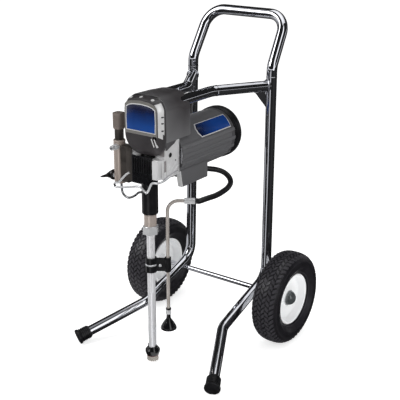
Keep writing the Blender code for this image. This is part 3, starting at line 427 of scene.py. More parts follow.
def makeHose():
    far = drainAt + outward * hose["start"][1] + Vector((0, 0, hose["height"]))
    barb = at(*hose["barb"])
    middle = [(0.1235, -0.25, 0.508), (0.131, -0.21, 0.509), (0.124, -0.155, 0.509),
              (0.112, -0.1183, 0.5096), (0.099, -0.0945, 0.5122), (0.084, -0.0825, 0.52),
              (0.067, -0.0825, 0.53), (0.05, -0.094, 0.5378), (0.03, -0.1175, 0.544),
              (0.0, -0.135, 0.546), (-0.036, -0.143, 0.544), (-0.066, -0.15, 0.544),
              (-0.079, -0.18, 0.545), (-0.084, -0.23, 0.547), (-0.095, -0.28, 0.556)]
    route = [far + outward * 0.0003, far + outward * 0.006, far + outward * 0.012,
             *[at(*point) for point in middle], barb + Vector((0, 0.02, 0)), barb]
    path = smooth(route, 5)
    made = settle(pipe(path, hose["radius"], 7), "returnHose", "rubber", ("return_hose",), 50)


makeHose()


studio = {"floor": 48.0, "floorGlow": 0.62, "sky": 0.5, "key": 36.0, "fill": 13.0, "top": 16.0}
# lit strips that shiny metal sees on the floor, going round from -X: 0.25 is the front, 0.5 is +X
floorStrips = [(0.0, 0.4), (0.06, 0.75), (0.09, 0.02), (0.255, 0.02), (0.262, 0.95), (0.296, 0.95),
               (0.303, 0.02), (0.44, 0.02), (0.47, 0.04), (0.6, 0.02), (0.9, 0.05), (0.96, 0.3)]
skyBands = [(0.0, 0.04), (0.03, 0.05), (0.055, 1.1), (0.085, 1.1), (0.1, 0.015), (0.9, 0.02),
            (0.96, 0.3), (1.0, 0.4)]          # by height, from the horizon up
skyStrips = [(0.0, 0.0), (0.05, 0.0), (0.06, 0.9), (0.085, 0.9), (0.1, 0.0), (0.405, 0.0), (0.42, 1.6),
             (0.465, 1.6), (0.475, 0.0)]


# one shader for what metal mirrors, another for everything else
def byRay(tree, mark, other, chosen):
    ray = added(tree, "LightPath")
    mix = added(tree, "MixShader", feeds={"Fac": (ray, mark)})
    tree.links.new(other, mix.inputs[1])
    tree.links.new(chosen, mix.inputs[2])
    return mix


def floorSkin():
    made, tree, plain = blank("studioFloor")
    plain.inputs["Base Color"].default_value = (0.93, 0.93, 0.93, 1)
    plain.inputs["Roughness"].default_value = 0.9
    plain.inputs["Specular IOR Level"].default_value = 0.0
    plain.inputs["Emission Color"].default_value = (1, 1, 1, 1)
    plain.inputs["Emission Strength"].default_value = studio["floorGlow"]
    strips = ramped(tree, glowing(floorStrips))
    link(tree, radial(tree, added(tree, "TexCoord"), "Object"), "Color", strips, "Fac")
    glow = added(tree, "Emission", feeds={"Color": (strips, "Color")})
    mix = byRay(tree, "Is Glossy Ray", plain.outputs["BSDF"], glow.outputs["Emission"])
    link(tree, mix, "Shader", tree.nodes["Material Output"], "Surface")
    return made


def makeSky():
    world = bpy.data.worlds.new("studio")
    bpy.context.scene.world = world
    world.use_nodes = True
    tree = world.node_tree
    soft = tree.nodes["Background"]
    soft.inputs["Color"].default_value = (1, 1, 1, 1)
    soft.inputs["Strength"].default_value = studio["sky"]
    coords = added(tree, "TexCoord")
    height = added(tree, "SeparateXYZ", feeds={"Vector": (coords, "Generated")})
    bands = ramped(tree, glowing(skyBands))
    link(tree, height, "Z", bands, "Fac")
    strips = ramped(tree, glowing(skyStrips, 1.0))
    link(tree, radial(tree, coords, "Generated"), "Color", strips, "Fac")
    window = added(tree, "MapRange", {"From Min": 0.9, "From Max": 0.8}, {"Value": (height, "Z")})
    trimmed = added(tree, "Mix")
    trimmed.data_type = "RGBA"
    trimmed.inputs[6].default_value = (0, 0, 0, 1)
    link(tree, window, "Result", trimmed, "Factor")
    link(tree, strips, "Color", trimmed, 7)
    both = added(tree, "Mix")
    both.data_type = "RGBA"
    both.blend_type = "LIGHTEN"
    both.inputs["Factor"].default_value = 1.0
    link(tree, bands, "Color", both, 6)
    link(tree, trimmed, 2, both, 7)
    mirrorSky = added(tree, "Background", feeds={"Color": (both, 2)})
    mix = byRay(tree, "Is Glossy Ray", soft.outputs[0], mirrorSky.outputs[0])
    pale = added(tree, "Background", {"Color": (1, 1, 1, 1)})
    seen = byRay(tree, "Is Camera Ray", mix.outputs["Shader"], pale.outputs[0])
    link(tree, seen, "Shader", tree.nodes["World Output"], "Surface")


def makeStudio():
    deselect()
    bpy.ops.mesh.primitive_grid_add(x_subdivisions=8, y_subdivisions=8, size=studio["floor"],
                                    location=(0, 0, -0.0002))
    floor = bpy.context.object
    floor.name = "studioFloor"
    floor.data.materials.append(floorSkin())
    makeSky()
    lamps = [("keyLight", (-1.6, -2.0, 2.4), 1.6, studio["key"]), ("fillLight", (2.4, -0.6, 1.6), 1.4,
                                                                   studio["fill"]), ("topLight",
                                                                                     (0.2, 0.6, 3.0), 2.2,
                                                                                     studio["top"])]
    for name, place, size, power in lamps:
        bpy.ops.object.light_add(type="AREA", location=place)
        lamp = bpy.context.object
        lamp.name = name
        lamp.data.size = size
        lamp.data.energy = power
        lamp.visible_glossy = name != "fillLight"
        lamp.rotation_euler = (Vector((0, 0, 0.4)) - Vector(place)).to_track_quat("-Z", "Y").to_euler()
    bpy.context.scene.view_settings.view_transform = "Standard"


makeStudio()
print("camera, hose, floor and light are in")


cart = {"radius": 0.01558, "handle": (0.1367, 0.133, 0.9695), "shoulder": (0.1416, 0.0498, 0.8319),
        "heel": (0.1465, 0.0414, 0.1716), "splay": (0.147, -0.1966, 0.092),
        "toe": (0.2505, -0.3975, 0.0215), "handleBend": 0.058, "legBend": 0.06, "armZ": 0.777,
        "armBend": (0.0445, -0.114, 0.777), "axleReach": 0.2693, "axleRadius": 0.0079, "axleZ": 0.1425,
        "footRadius": 0.0235, "footLength": 0.042}


# a thin raised ring round a tube
def band(start, along, inner, outer, width):
    edge = (outer - inner) * 0.6
    return turned([(inner, -width / 2), (outer - edge, -width / 2), (outer, -width / 4),
                   (outer, width / 4), (outer - edge, width / 2), (inner, width / 2)], start, along, 40)


# an uneven bead of weld where a tube meets another
def weldRing(centre, along, squash, around):
    path = []
    side = Vector(along).orthogonal().normalized()
    other = Vector(along).normalized().cross(side)
    for step in range(49):
        turn = math.tau * step / 48
        wobble = 1 + 0.02 * math.sin(turn * 13)
        reach = side * math.cos(turn) + other * math.sin(turn)
        path.append(centre + reach * around * wobble + Vector(along).normalized() * squash * reach.z ** 2)
    return pipe(path, 0.0026, 3, False)


def makeCart():
    radius = cart["radius"]
    shoulder, heel, handle = at(*cart["shoulder"]), at(*cart["heel"]), at(*cart["handle"])
    down = (heel - shoulder).normalized()
    split = shoulder + down * 0.03
    corners = [mirrored(split, -1), mirrored(shoulder, -1), mirrored(handle, -1), handle, shoulder, split]
    settle(pipe(bent(corners, cart["handleBend"]), radius, 11), "handleLoop", "chrome",
           ("handle_loop",), 40)
    for side, word in ((-1, "left"), (1, "right")):
        leg = (split + down * 0.0003, heel, at(*cart["splay"]), at(*cart["toe"]))
        corners = [mirrored(point, side) for point in leg]
        settle(pipe(bent(corners, cart["legBend"]), radius, 11), word + "SideTube", "chrome",
               (word + "_side_tube",), 40)
        sleeve = band(mirrored(split, side), mirrored(down, side), radius - 0.001, radius + 0.0006, 0.004)
        settle(sleeve, word + "JointRing", "chrome")
        share = (shoulder.z - cart["armZ"]) / (shoulder.z - heel.z)
        armStart = mirrored(shoulder + (heel - shoulder) * share, side)
        bend = mirrored(at(*cart["armBend"]), side)
        armEnd = at(side * cart["armBend"][0], -0.2902, cart["armZ"])
        path = bent([armStart, bend, armEnd], 0.07)
        level = (path[1] - armStart).normalized()
        path[0] = armStart + level * radius * 0.55
        settle(pipe(path, radius, 11), word + "Arm", "chrome", (word + "_bracket_arm",), 40)
        weld = weldRing(armStart + level * radius * 0.98, level, -0.001, radius + 0.0012)
        settle(weld, word + "Weld", "chrome", angle=60)
        seamAt = path[3]
        seam = band(seamAt, path[4] - path[2], radius - 0.001, radius + 0.0007, 0.005)
        settle(seam, word + "BendSeam", "chrome")
        makeGusset(word, armStart, bend)
        makeFoot(side, word)


def makeAxle():
    reach = cart["axleReach"]
    radius = cart["axleRadius"]
    bar = [(0.0, 0.0), (radius - 0.0009, 0.0), (radius, 0.001), (radius, 2 * reach - 0.001),
           (radius - 0.0009, 2 * reach), (0.0, 2 * reach)]
    settle(turned(bar, at(-reach, 0, cart["axleZ"]), (1, 0, 0), 40), "axleBar", "chrome",
           ("axle",))


def makeGusset(word, corner, bend):
    radius = cart["radius"]
    level = bend - corner
    level.z = 0
    level.normalize()
    near = corner + level * (radius + 0.0012) + Vector((0, 0, -radius - 0.0003))
    across = level.cross(Vector((0, 0, 1)))
    points = [near, near + level * 0.04, near + level * 0.034 + Vector((0, 0, -0.004)),
              near + Vector((0, 0, -0.048))]
    made = outlined([point - across * 0.0019 for point in points])
    editAll()
    bpy.ops.mesh.extrude_region_move(TRANSFORM_OT_translate={"value": tuple(across * 0.0038)})
    bpy.ops.object.mode_set(mode="OBJECT")
    settle(bevelled(made, 0.0006), word + "Gusset", "chrome", (word + "_gusset",))


# a ribbed rubber cap with a flared rim, flat where it stands on the floor
def makeFoot(side, word):
    radius, length = cart["footRadius"], cart["footLength"]
    toe = mirrored(at(*cart["toe"]), side)
    back = (mirrored(at(*cart["splay"]), side) - toe).normalized()
    profile = [(0.0, 0.0), (radius - 0.0015, 0.0), (radius, 0.0015), (radius, 0.006),
               (radius - 0.0022, 0.009)]
    for ring in range(5):
        low = 0.011 + ring * 0.0056
        profile += [(radius - 0.0044, low), (radius - 0.0026, low + 0.001),
                    (radius - 0.0026, low + 0.0034), (radius - 0.0044, low + 0.0044)]
    profile += [(radius - 0.0045, length - 0.002), (radius - 0.006, length), (0.015, length),
                (0.0, length)]
    foot = turned(profile, toe - back * 0.004, back, 48)
    for vert in foot.data.vertices:
        vert.co.z = max(vert.co.z, 0.0)
    settle(foot, word + "Foot", "rubber", (word + "_foot",), 40)


makeCart()
makeAxle()
print("cart frame done")


wheel = {"radius": 0.1425, "half": 0.0435, "rim": 0.079, "track": 0.2418, "treadDepth": 0.003,
         "pitches": 52, "rows": (-0.031, -0.0186, -0.0062, 0.0062, 0.0186, 0.031)}


def crown(swing):
    height = wheel["radius"] - wheel["rim"]
    return wheel["rim"] + 0.35 * height + 0.65 * height * math.cos(swing) ** 0.6


def crownRadius(across):
    return crown(math.asin(min(0.999, (abs(across) / wheel["half"]) ** (1 / 0.75))))


# one slanted block of the tread: x along the tread, y across, z up
def treadBlock():
    deselect()
    bpy.ops.mesh.primitive_cube_add(size=1)
    made = bpy.context.object
    made.scale = (0.0112, 0.0108, 0.006)
    bpy.ops.object.transform_apply(scale=True)
    bevelled(made, 0.0011, 1)
    return made


def makeTread(side):
    block = treadBlock()
    corners = [vert.co.copy() for vert in block.data.vertices]
    faces = [tuple(face.vertices) for face in block.data.polygons]
    places, skins = [], []
    for row, across in enumerate(wheel["rows"]):
        lean = (1 if row % 2 else -1) * 0.8
        for pitch in range(wheel["pitches"]):
            base = math.tau * (pitch + 0.5 * (row % 2)) / wheel["pitches"]
            first = len(places)
            for spot in corners:
                v = across + spot.y
                swing = base + (spot.x + lean * spot.y) / wheel["radius"]
                reach = crownRadius(v) - wheel["treadDepth"] + spot.z
                places.append((side * (wheel["track"] + v), axleY + reach * math.sin(swing),
                               wheel["radius"] + reach * math.cos(swing)))
            skins += [tuple(first + index for index in face) for face in faces]
    block.data.clear_geometry()
    block.data.from_pydata(places, [], skins)
    return block


def makeWheel(side, word):
    body = word + "_wheel"
    centre = at(side * wheel["track"], 0.0, wheel["radius"])
    out = (side, 0, 0)
    profile = [(wheel["rim"] + 0.0003, -0.027)]
    steps = 26
    for step in range(steps + 1):
        swing = math.pi * (step / steps - 0.5)
        across = math.copysign(abs(math.sin(swing)) ** 0.75, swing) * (wheel["half"] - 0.0006)
        reach = crown(swing)
        reach -= wheel["treadDepth"] * max(0.0, min(1.0, (reach - 0.118) / 0.008))
        profile.append((reach, across))
        if step in (3, steps - 3):            # raised ring at the shoulder of the sidewall
            profile += [(reach + 0.0006, across + 0.0004 * math.copysign(1, across))]
    profile += [(wheel["rim"] + 0.0003, 0.027), (wheel["rim"] + 0.0003, 0.0)]
    carcass = turned(profile, centre, out, 96)
    rings = [carcass, makeTread(side)]
    for lip, reach in ((0.0352, 0.085), (0.042, 0.101), (0.0428, 0.1085)):
        rings.append(turned([(reach - 0.0012, lip - 0.0012), (reach, lip),
                             (reach + 0.0012, lip - 0.0012)], centre, out, 96))
    settle(joined(*rings), word + "Tyre", "tyre", (word + "_tyre",), 28, body)

    rim = [(0.011, -0.034), (0.018, -0.034), (0.02, -0.006), (0.064, -0.006), (0.07, -0.03),
           (0.079, -0.03), (0.079, 0.028), (0.0778, 0.03), (0.0745, 0.03), (0.0725, 0.0285), (0.07, 0.02),
           (0.0672, 0.0105), (0.065, 0.0085), (0.061, 0.008), (0.059, 0.0088), (0.042, 0.0082),
           (0.033, 0.007), (0.03, 0.005), (0.0255, 0.0045), (0.024, 0.006), (0.0236, 0.012),
           (0.011, 0.012)]
    settle(turned(rim, centre, out, 80), word + "Rim", "white", (word + "_rim",), 30,
           body)
    dome = [(0.0, 0.013), (0.0218, 0.013), (0.0224, 0.014)]
    for step in range(1, 15):
        lift = math.pi / 2 * step / 15
        dome.append((0.0224 * math.cos(lift), 0.014 + 0.0214 * math.sin(lift)))
    dome.append((0.0, 0.0354))
    settle(turned(dome, centre, out, 48), word + "HubDome", "hub", (word + "_hub_cap",),
           60)
    settle(band(centre + Vector(out) * 0.0138, out, 0.02, 0.0244, 0.0024), word + "HubRing", "zinc",
           body=body)


for side, word in ((-1, "left"), (1, "right")):
    makeWheel(side, word)
print("wheels done")


drive = {"half": 0.066, "bottom": 0.682, "top": 0.805, "wall": 0.0024, "badgeZ": 0.747,
         "slots": (0.755, 0.738, 0.718), "studs": (-0.04, -0.005, 0.034), "bars": (-0.035, -0.027, -0.019,
                                                                                   -0.011, -0.003, 0.005,
                                                                                   0.013, 0.021, 0.028)}


def shield(half, bottom, middle, top, corner=0.033, power=0.65):
    lower = []
    for step in range(31):
        turn = math.pi * step / 30
        across = math.copysign(abs(math.cos(turn)) ** power, -math.cos(turn))
        lower.append((half * across, middle - (middle - bottom) * math.sin(turn) ** power))
    bend = arc((half - corner, top - corner - 0.004), corner, 8, 80, 9)
    return [*lower, *bend, (0.0, top), *[(-x, z) for x, z in reversed(bend)]]


def arched(half, bottom, top, corner):
    bend = arc((half - corner, top - corner), corner, 0, 90, 9)
    return [(-half, bottom), (half, bottom), *bend, *[(-x, z) for x, z in reversed(bend)]]


# skin over closed outlines of equal count, each (outline of (x, z), y); both ends are filled
def lofted(sections):
    outline, y = sections[0]
    made = outlined([(x, y + axleY, z) for x, z in outline])
    for outline, y in sections[1:]:
        bpy.ops.object.mode_set(mode="EDIT")
        bpy.ops.mesh.extrude_region_move(TRANSFORM_OT_translate={"value": (0, 0.001, 0)})
        bpy.ops.object.mode_set(mode="OBJECT")
        fresh = [vert for vert in made.data.vertices if vert.select]
        for vert, (x, z) in zip(fresh, outline):
            vert.co = (x, y + axleY, z)
    return made


def makeShroud():
    half, bottom, top = drive["half"], drive["bottom"], drive["top"]
    sections = [(arched(half - inset, bottom, top - inset, corner), y) for inset, corner,
                y in ((0.001, 0.038, -0.3527), (0.0, 0.039, -0.3515), (0.0, 0.042, -0.291),
                      (0.0002, 0.047, -0.272), (0.0005, 0.048, -0.256), (0.0014, 0.048, -0.247),
                      (0.0034, 0.047, -0.242), (0.0064, 0.045, -0.24))]
    body = shell(lofted(sections), drive["wall"],
                 lambda face: face.normal.y < -0.9 or face.normal.z < -0.9)
    settle(body, "gearShroud", "charcoal", ("gear_shroud",), 34)
    ridge = []
    for side in (-1, 1):                     # low raised panels and a skirt on each flank
        x = (side * (half - 0.001), side * (half - 0.0002))
        ridge.append(box((min(x), max(x)), (-0.348, -0.306), (0.7, 0.756), 0.0004))
        skirt = [(-0.3525, 0.683), (-0.3525, 0.66), (-0.344, 0.664), (-0.33, 0.67), (-0.318, 0.674),
                 (-0.308, 0.683)]
        skirt = [(y + axleY, z) for y, z in skirt]
        ridge.append(bevelled(slab(skirt, side * (half - 0.0048), side * (half - 0.0005), "X"), 0.0006))
    settle(joined(*ridge), "shroudPanels", "charcoal")


# the point and the outward direction on the cover's top bevel at this x
def onCover(cover, x):
    found, spot, normal = cover.ray_cast(at(x, -0.37, 0.9), (0, 0, -1))[:3]
    return (spot, normal) if found else (at(x, -0.37, 0.79), Vector(upward))


def makeCover():
    sections = [(shield(0.0548, 0.659, 0.716, 0.798), -0.38), (shield(0.056, 0.6575, 0.7155, 0.7992),
                                                               -0.3796),
                (shield(0.057, 0.656, 0.715, 0.8), -0.3786), (shield(0.064, 0.645, 0.709, 0.8026),
                                                              -0.3665),
                (shield(0.0656, 0.64, 0.7055, 0.8036), -0.362),
                (shield(0.066, 0.639, 0.705, 0.804), -0.356), (shield(0.0658, 0.6392, 0.705, 0.8038),
                                                               -0.3532)]
    body = shell(lofted(sections), drive["wall"], lambda face: face.normal.y > 0.9)
    cover = settle(body, "frontCover", "charcoal", ("front_cover",), 24)
    cover.data.materials.append(finishes["trimAndHighlight"])
    for face in cover.data.polygons:         # the cover's flank each side of the badge gets the silver: a painted highlight on the charcoal cover
        middle = face.center
        if abs(face.normal.x) > 0.3 and -0.3786 < middle.y - axleY < -0.364 and 0.7 < middle.z < 0.79:
            face.material_index = 1
    marks = []
    for z in drive["slots"]:
        marks.append(box((0.056, 0.065), (-0.37, -0.36), (z - 0.0016, z + 0.0016), 0.0003))
        marks.append(box((-0.065, -0.056), (-0.37, -0.36), (z - 0.0016, z + 0.0016), 0.0003))
    settle(joined(*marks), "coverSlots", "black")
    fins = []
    for x in (0.04, 0.05):
        fin = box((x - 0.0014, x + 0.0014), (-0.3812, -0.376), (0.672, 0.696), 0.0005)
        fins.append(tipped(fin, x, 0.684, math.radians(-24)))
    settle(joined(*fins), "coverFins", "trimAndHighlight")
    settle(box((0.041, 0.053), (-0.3805, -0.376), (0.692, 0.703), 0.001), "coverNotch", "glossBlack")
    studs = []
    for x in drive["studs"]:
        spot, normal = onCover(cover, x)
        studs.append(turned([(0.0, -0.0006), (0.0052, -0.0006), (0.0046, 0.001), (0.0, 0.0017)], spot,
                            normal, 16))
    settle(joined(*studs), "coverStuds", "trimAndHighlight")
    face = [(-0.048, 0.711), (0.048, 0.711), (0.049, 0.742), (0.048, 0.772), (0.04, 0.7775),
            (0.025, 0.7812), (0.0, 0.783), (-0.025, 0.7812), (-0.04, 0.7775), (-0.048, 0.772),
            (-0.049, 0.742)]
    mid = drive["badgeZ"]
    rim = [(x * 1.045, mid + (z - mid) * 1.06) for x, z in face]
    settle(bevelled(slab(rim, -0.3809 + axleY, -0.3796 + axleY), 0.0004), "badgeFrame", "trimAndHighlight")
    rim = [(x * 1.135, mid + (z - mid) * 1.3) for x, z in face]
    settle(bevelled(slab(rim, -0.3805 + axleY, -0.379 + axleY), 0.0005), "badgeBezel", "bezel")
    settle(bevelled(slab(face, -0.38125 + axleY, -0.38 + axleY), 0.0003), "badge", "badge",
           ("cover_badge",))


def makeHousingDetail():
    plug = turned([(0.0, 0.0), (0.0068, 0.0), (0.0068, 0.0012), (0.0052, 0.002), (0.004, 0.0012),
                   (0.0, 0.001)], at(0.0598, -0.332, 0.643), (1, 0, 0), 32)
    pin = turned([(0.0, 0.0), (0.0022, 0.0), (0.002, 0.0008), (0.0, 0.0008)], at(0.0598, -0.308, 0.623),
                 (1, 0, 0), 20)
    settle(joined(plug, pin), "housingPlug", "black")
    boss = turned([(0.007, 0.0), (0.0092, 0.0), (0.0088, 0.0014), (0.007, 0.0016)],
                  at(0.0598, -0.332, 0.643), (1, 0, 0), 32)
    ribs = [boss]
    for y0, y1, z0, z1 in ((-0.37, -0.36, 0.585, 0.63), (-0.356, -0.35, 0.636, 0.66)):
        ribs.append(box((0.059, 0.0622), (y0, y1), (z0, z1), 0.001))
    for y0, y1, z0, z1 in ((-0.35, -0.347, 0.586, 0.632), (-0.296, -0.293, 0.582, 0.675),
                           (-0.347, -0.296, 0.582, 0.585), (-0.37, -0.368, 0.584, 0.63)):
        ribs.append(box((0.0595, 0.0612), (y0, y1), (z0, z1), 0.0005))
    for start, end in (((-0.344, 0.59), (-0.3, 0.62)), ((-0.344, 0.602), (-0.324, 0.63)),
                       ((-0.32, 0.59), (-0.298, 0.605))):
        ribs.append(pipe([at(0.0598, *start), at(0.0598, *end)], 0.0013, 2))
    # thin grey plates laid on the housing's flank and front: painted shade over its recesses
    shades = [box((0.0595, 0.0609), (-0.358, -0.346), (0.6, 0.631), 0.0004), box((0.04, 0.057),
                                                                                 (-0.354, -0.352),
                                                                                 (0.642, 0.664), 0.0004)]
    settle(joined(*shades), "housingShadePanels", "paintedRecessShade")
    # painted shadow: a dark plate over the housing's front face left of the rod guard, where it lies in shade
    settle(box((-0.0597, -0.0397), (-0.3742, -0.3717), (0.558, 0.656), 0.0008), "housingShadowPlate",
           "paintedShadowBronze")
    settle(joined(*ribs), "housingRibs", "castAluminium")
    guard = []
    for x in drive["bars"]:
        guard.append(box((x - 0.0011, x + 0.0011), (-0.3773, -0.375), (0.59, 0.632), 0.0005))
    settle(joined(*guard), "guardRibs", "black")
    plate = box((-0.0395, 0.0325), (-0.3755, -0.3723), (0.558, 0.638), 0.0012)
    settle(plate, "rodGuard", "glossBlack", ("rod_guard",))


makeShroud()
makeCover()
makeHousingDetail()
print("drive unit done")


motor = {"z": 0.6315, "radius": 0.0735, "rib": 0.0022, "front": -0.2902, "back": -0.036,
         "capRadius": 0.0775, "capBack": 0.0137, "ribs": (-62, -42, -22, -2, 18)}


def cowlOutline():
    places = [angle for low in motor["ribs"] for angle in (low, 180 - low)]
    outline = []
    for step in range(288):
        angle = step * 1.25
        near = min(abs((angle - rib + 180) % 360 - 180) for rib in places)
        lift = motor["rib"] * max(0.0, min(1.0, (5.0 - near) / 1.8))
        radius = motor["radius"] + lift
        turn = math.radians(angle)
        outline.append((radius * math.cos(turn), motor["z"] + radius * math.sin(turn)))
    return outline


def makeMotor():
    cowl = slab(cowlOutline(), motor["front"] + axleY, motor["back"] + axleY)
    cowl = shell(cowl, 0.0029, lambda face: abs(face.normal.y) > 0.9)
    # the cowl takes the darkened paint: painted shade over its whole surface
    settle(cowl, "motorCowl", "cowlPaintDarkenedForShade", ("motor_cowl",), 22)
    depth = motor["capBack"] - motor["back"] - 0.0003
    rim = motor["capRadius"]
    cap = [(rim - 0.0045, 0.0), (rim - 0.0035, 0.0), (rim - 0.0012, 0.0004), (rim - 0.0004, 0.002),
           (rim - 0.0012, 0.0036), (rim - 0.003, 0.004), (rim - 0.003, 0.0052), (rim - 0.0006, 0.0058),
           (rim, 0.0075), (rim, 0.022), (rim - 0.0012, 0.0285), (rim - 0.004, 0.0345),
           (rim - 0.0085, 0.04), (rim - 0.015, 0.044), (rim - 0.018, 0.0452), (rim - 0.0195, 0.0442),
           (rim - 0.0215, 0.046), (0.042, 0.048), (0.04, 0.047), (0.038, 0.0486), (0.02, depth),
           (0.0, depth), (0.0, depth - 0.0028), (0.056, depth - 0.006), (rim - 0.011, depth - 0.014),
           (rim - 0.007, depth - 0.024), (rim - 0.0045, 0.005)]
    settle(turned(cap, at(0, motor["back"] + 0.0003, motor["z"]), (0, 1, 0), 96), "motorEndCap", "black",
           ("motor_end_cap",), 26)
    vents = []
    for step in range(18):
        turn = math.tau * step / 18
        one = box((0.0455, 0.0545), (0.0088, 0.01), (motor["z"] - 0.0022, motor["z"] + 0.0022), 0.0004)
        vents.append(tipped(one, 0, motor["z"], turn))
    settle(joined(*vents), "capVents", "rubber")
    rings = [band(at(0, y, motor["z"]), (0, 1, 0), 0.07, 0.0752, 0.0026) for y in (-0.0415, -0.048)]
    settle(joined(*rings), "cowlSeams", "cowlPaintDarkenedForShade")


# a thin plate bent round the motor, with the corners of its front end cut off
def wrapped(radius, yStart, yEnd, low, high, cut, thick):
    deselect()
    bpy.ops.mesh.primitive_grid_add(x_subdivisions=36, y_subdivisions=16, size=2)
    made = bpy.context.object
    for vert in made.data.vertices:
        u, v = (vert.co.x + 1) / 2, vert.co.y
        start = yStart + cut * max(0.0, abs(v) - 0.35) / 0.65
        y = start + (yEnd - start) * u
        turn = math.radians((low + high) / 2 + (high - low) / 2 * v)
        vert.co = (radius * math.cos(turn), y + axleY, motor["z"] + radius * math.sin(turn))
    return thickened(made, thick, 0)


def makeLabels():
    for side, word in ((1, "right"), (-1, "left")):
        angles = (24.5, 59.0) if side > 0 else (121.0, 155.5)
        edge = wrapped(0.0744, -0.2044, -0.0504, angles[0], angles[1], 0.01, 0.0014)
        settle(edge, word + "LabelBorder", "trimAndHighlight")
        plate = wrapped(0.0754, -0.2014, -0.0534, angles[0] + 2.2, angles[1] - 2.2, 0.009, 0.001)
        settle(plate, word + "Label", "label")


makeMotor()
makeLabels()
print("motor done")


pump = {"y": -0.347, "cylinder": 0.0178, "sleeve": 0.023, "siphon": 0.0115, "drain": 0.005,
        "drainBend": 0.032, "drainFoot": 0.1703}


# a hex bar with its corners turned off at both ends
def hexBar(radius, start, along, length, rounding=0.0008):
    deselect()
    bpy.ops.mesh.primitive_cylinder_add(vertices=6, radius=radius, depth=length)
    made = bpy.context.object
    bevelled(made, rounding, 2, 40)
    return aimed(made, start, along, length / 2)


def makePump():
    base = at(0, pump["y"], 0)
    r = pump["cylinder"]
    cylinder = [(0.013, 0.4302), (r - 0.0006, 0.4302), (r, 0.4308), (r, 0.44), (r - 0.0006, 0.4405),
                (r - 0.0006, 0.442), (r, 0.4425), (r, 0.464), (r - 0.0008, 0.4648), (r - 0.0008, 0.593),
                (0.0098, 0.593), (0.0098, 0.577), (0.013, 0.577)]
    settle(turned(cylinder, base, upward), "pumpCylinder", "nickel", ("pump_cylinder",))
    s = pump["sleeve"]
    sleeve = [(r + 0.0003, 0.4673), (s - 0.0025, 0.4673), (s - 0.0008, 0.4682), (s, 0.47), (s, 0.476),
              (s - 0.0007, 0.4765), (s - 0.0007, 0.478), (s, 0.4785), (s, 0.566), (s - 0.0007, 0.5665),
              (s - 0.0007, 0.568), (s, 0.5685), (s, 0.5797), (r + 0.0003, 0.5797)]
    settle(turned(sleeve, base, upward), "pumpSleeve", "black", ("pump_sleeve",))
    collar = turned([(0.0135, 0.429), (0.02, 0.429), (0.0202, 0.4296), (0.019, 0.4312), (0.018, 0.4316),
                     (0.0179, 0.43)], base, upward)
    foot = turned([(0.0118, 0.4056), (0.015, 0.4056), (0.0175, 0.4066), (0.019, 0.4078),
                   (0.0118, 0.4078)], base, (0, 0, 1))
    settle(joined(collar, foot), "intakeRings", "zinc")
    t = pump["siphon"]
    tube = [(t - 0.0015, 0.032), (t, 0.032), (t, 0.2255), (t + 0.0004, 0.2262), (t + 0.0004, 0.2278),
            (t, 0.2285), (t, 0.399), (t + 0.0009, 0.3998), (t + 0.0009, 0.4069), (t - 0.0015, 0.4069)]
    settle(turned(tube, base, upward), "siphonTube", "brushed", ("siphon_tube",))
    collar = [(0.005, 0.0235), (0.0183, 0.0235), (0.0195, 0.0262), (0.0198, 0.03), (0.0214, 0.0312),
              (0.0216, 0.0325), (0.0216, 0.039), (0.0208, 0.0402), (0.0166, 0.045), (0.0142, 0.0494),
              (t + 0.0003, 0.0495), (t + 0.0003, 0.0317), (0.005, 0.0317)]
    prongs = [box((x - 0.0018, x + 0.0018), (pump["y"] - 0.0035, pump["y"] + 0.0035), (0.045, 0.0537),
                  0.0007) for x in (-0.0136, 0.0136)]
    settle(joined(turned(collar, base, upward), *prongs), "siphonCollar", "glossBlack",
           ("siphon_collar",))
    gasket = [(0.005, 0.0218), (0.018, 0.0218), (0.0183, 0.0234), (0.005, 0.0234)]
    settle(turned(gasket, base, upward), "collarGasket", "maroon")
    makeStrainer(base)


# the strainer's cup, with two raised rings and windows shown as upright ribs
def makeStrainer(base):
    cup = [(0.0, 0.0062), (0.012, 0.0062), (0.015, 0.007), (0.016, 0.009), (0.0162, 0.021), (0.0, 0.021)]
    parts = [turned(cup, base, upward, 48)]
    parts.append(band(base + Vector((0, 0, 0.0202)), upward, 0.015, 0.0172, 0.0026))
    parts.append(band(base + Vector((0, 0, 0.0085)), upward, 0.014, 0.017, 0.0022))
    for step in range(16):
        turn = math.tau * step / 16
        rib = base + Vector((math.cos(turn), math.sin(turn), 0)) * 0.016
        parts.append(pipe([rib + Vector((0, 0, 0.0052)), rib + Vector((0, 0, 0.0205))], 0.001, 2))
    settle(joined(*parts), "inletStrainer", "mesh", ("inlet_strainer",), 40)


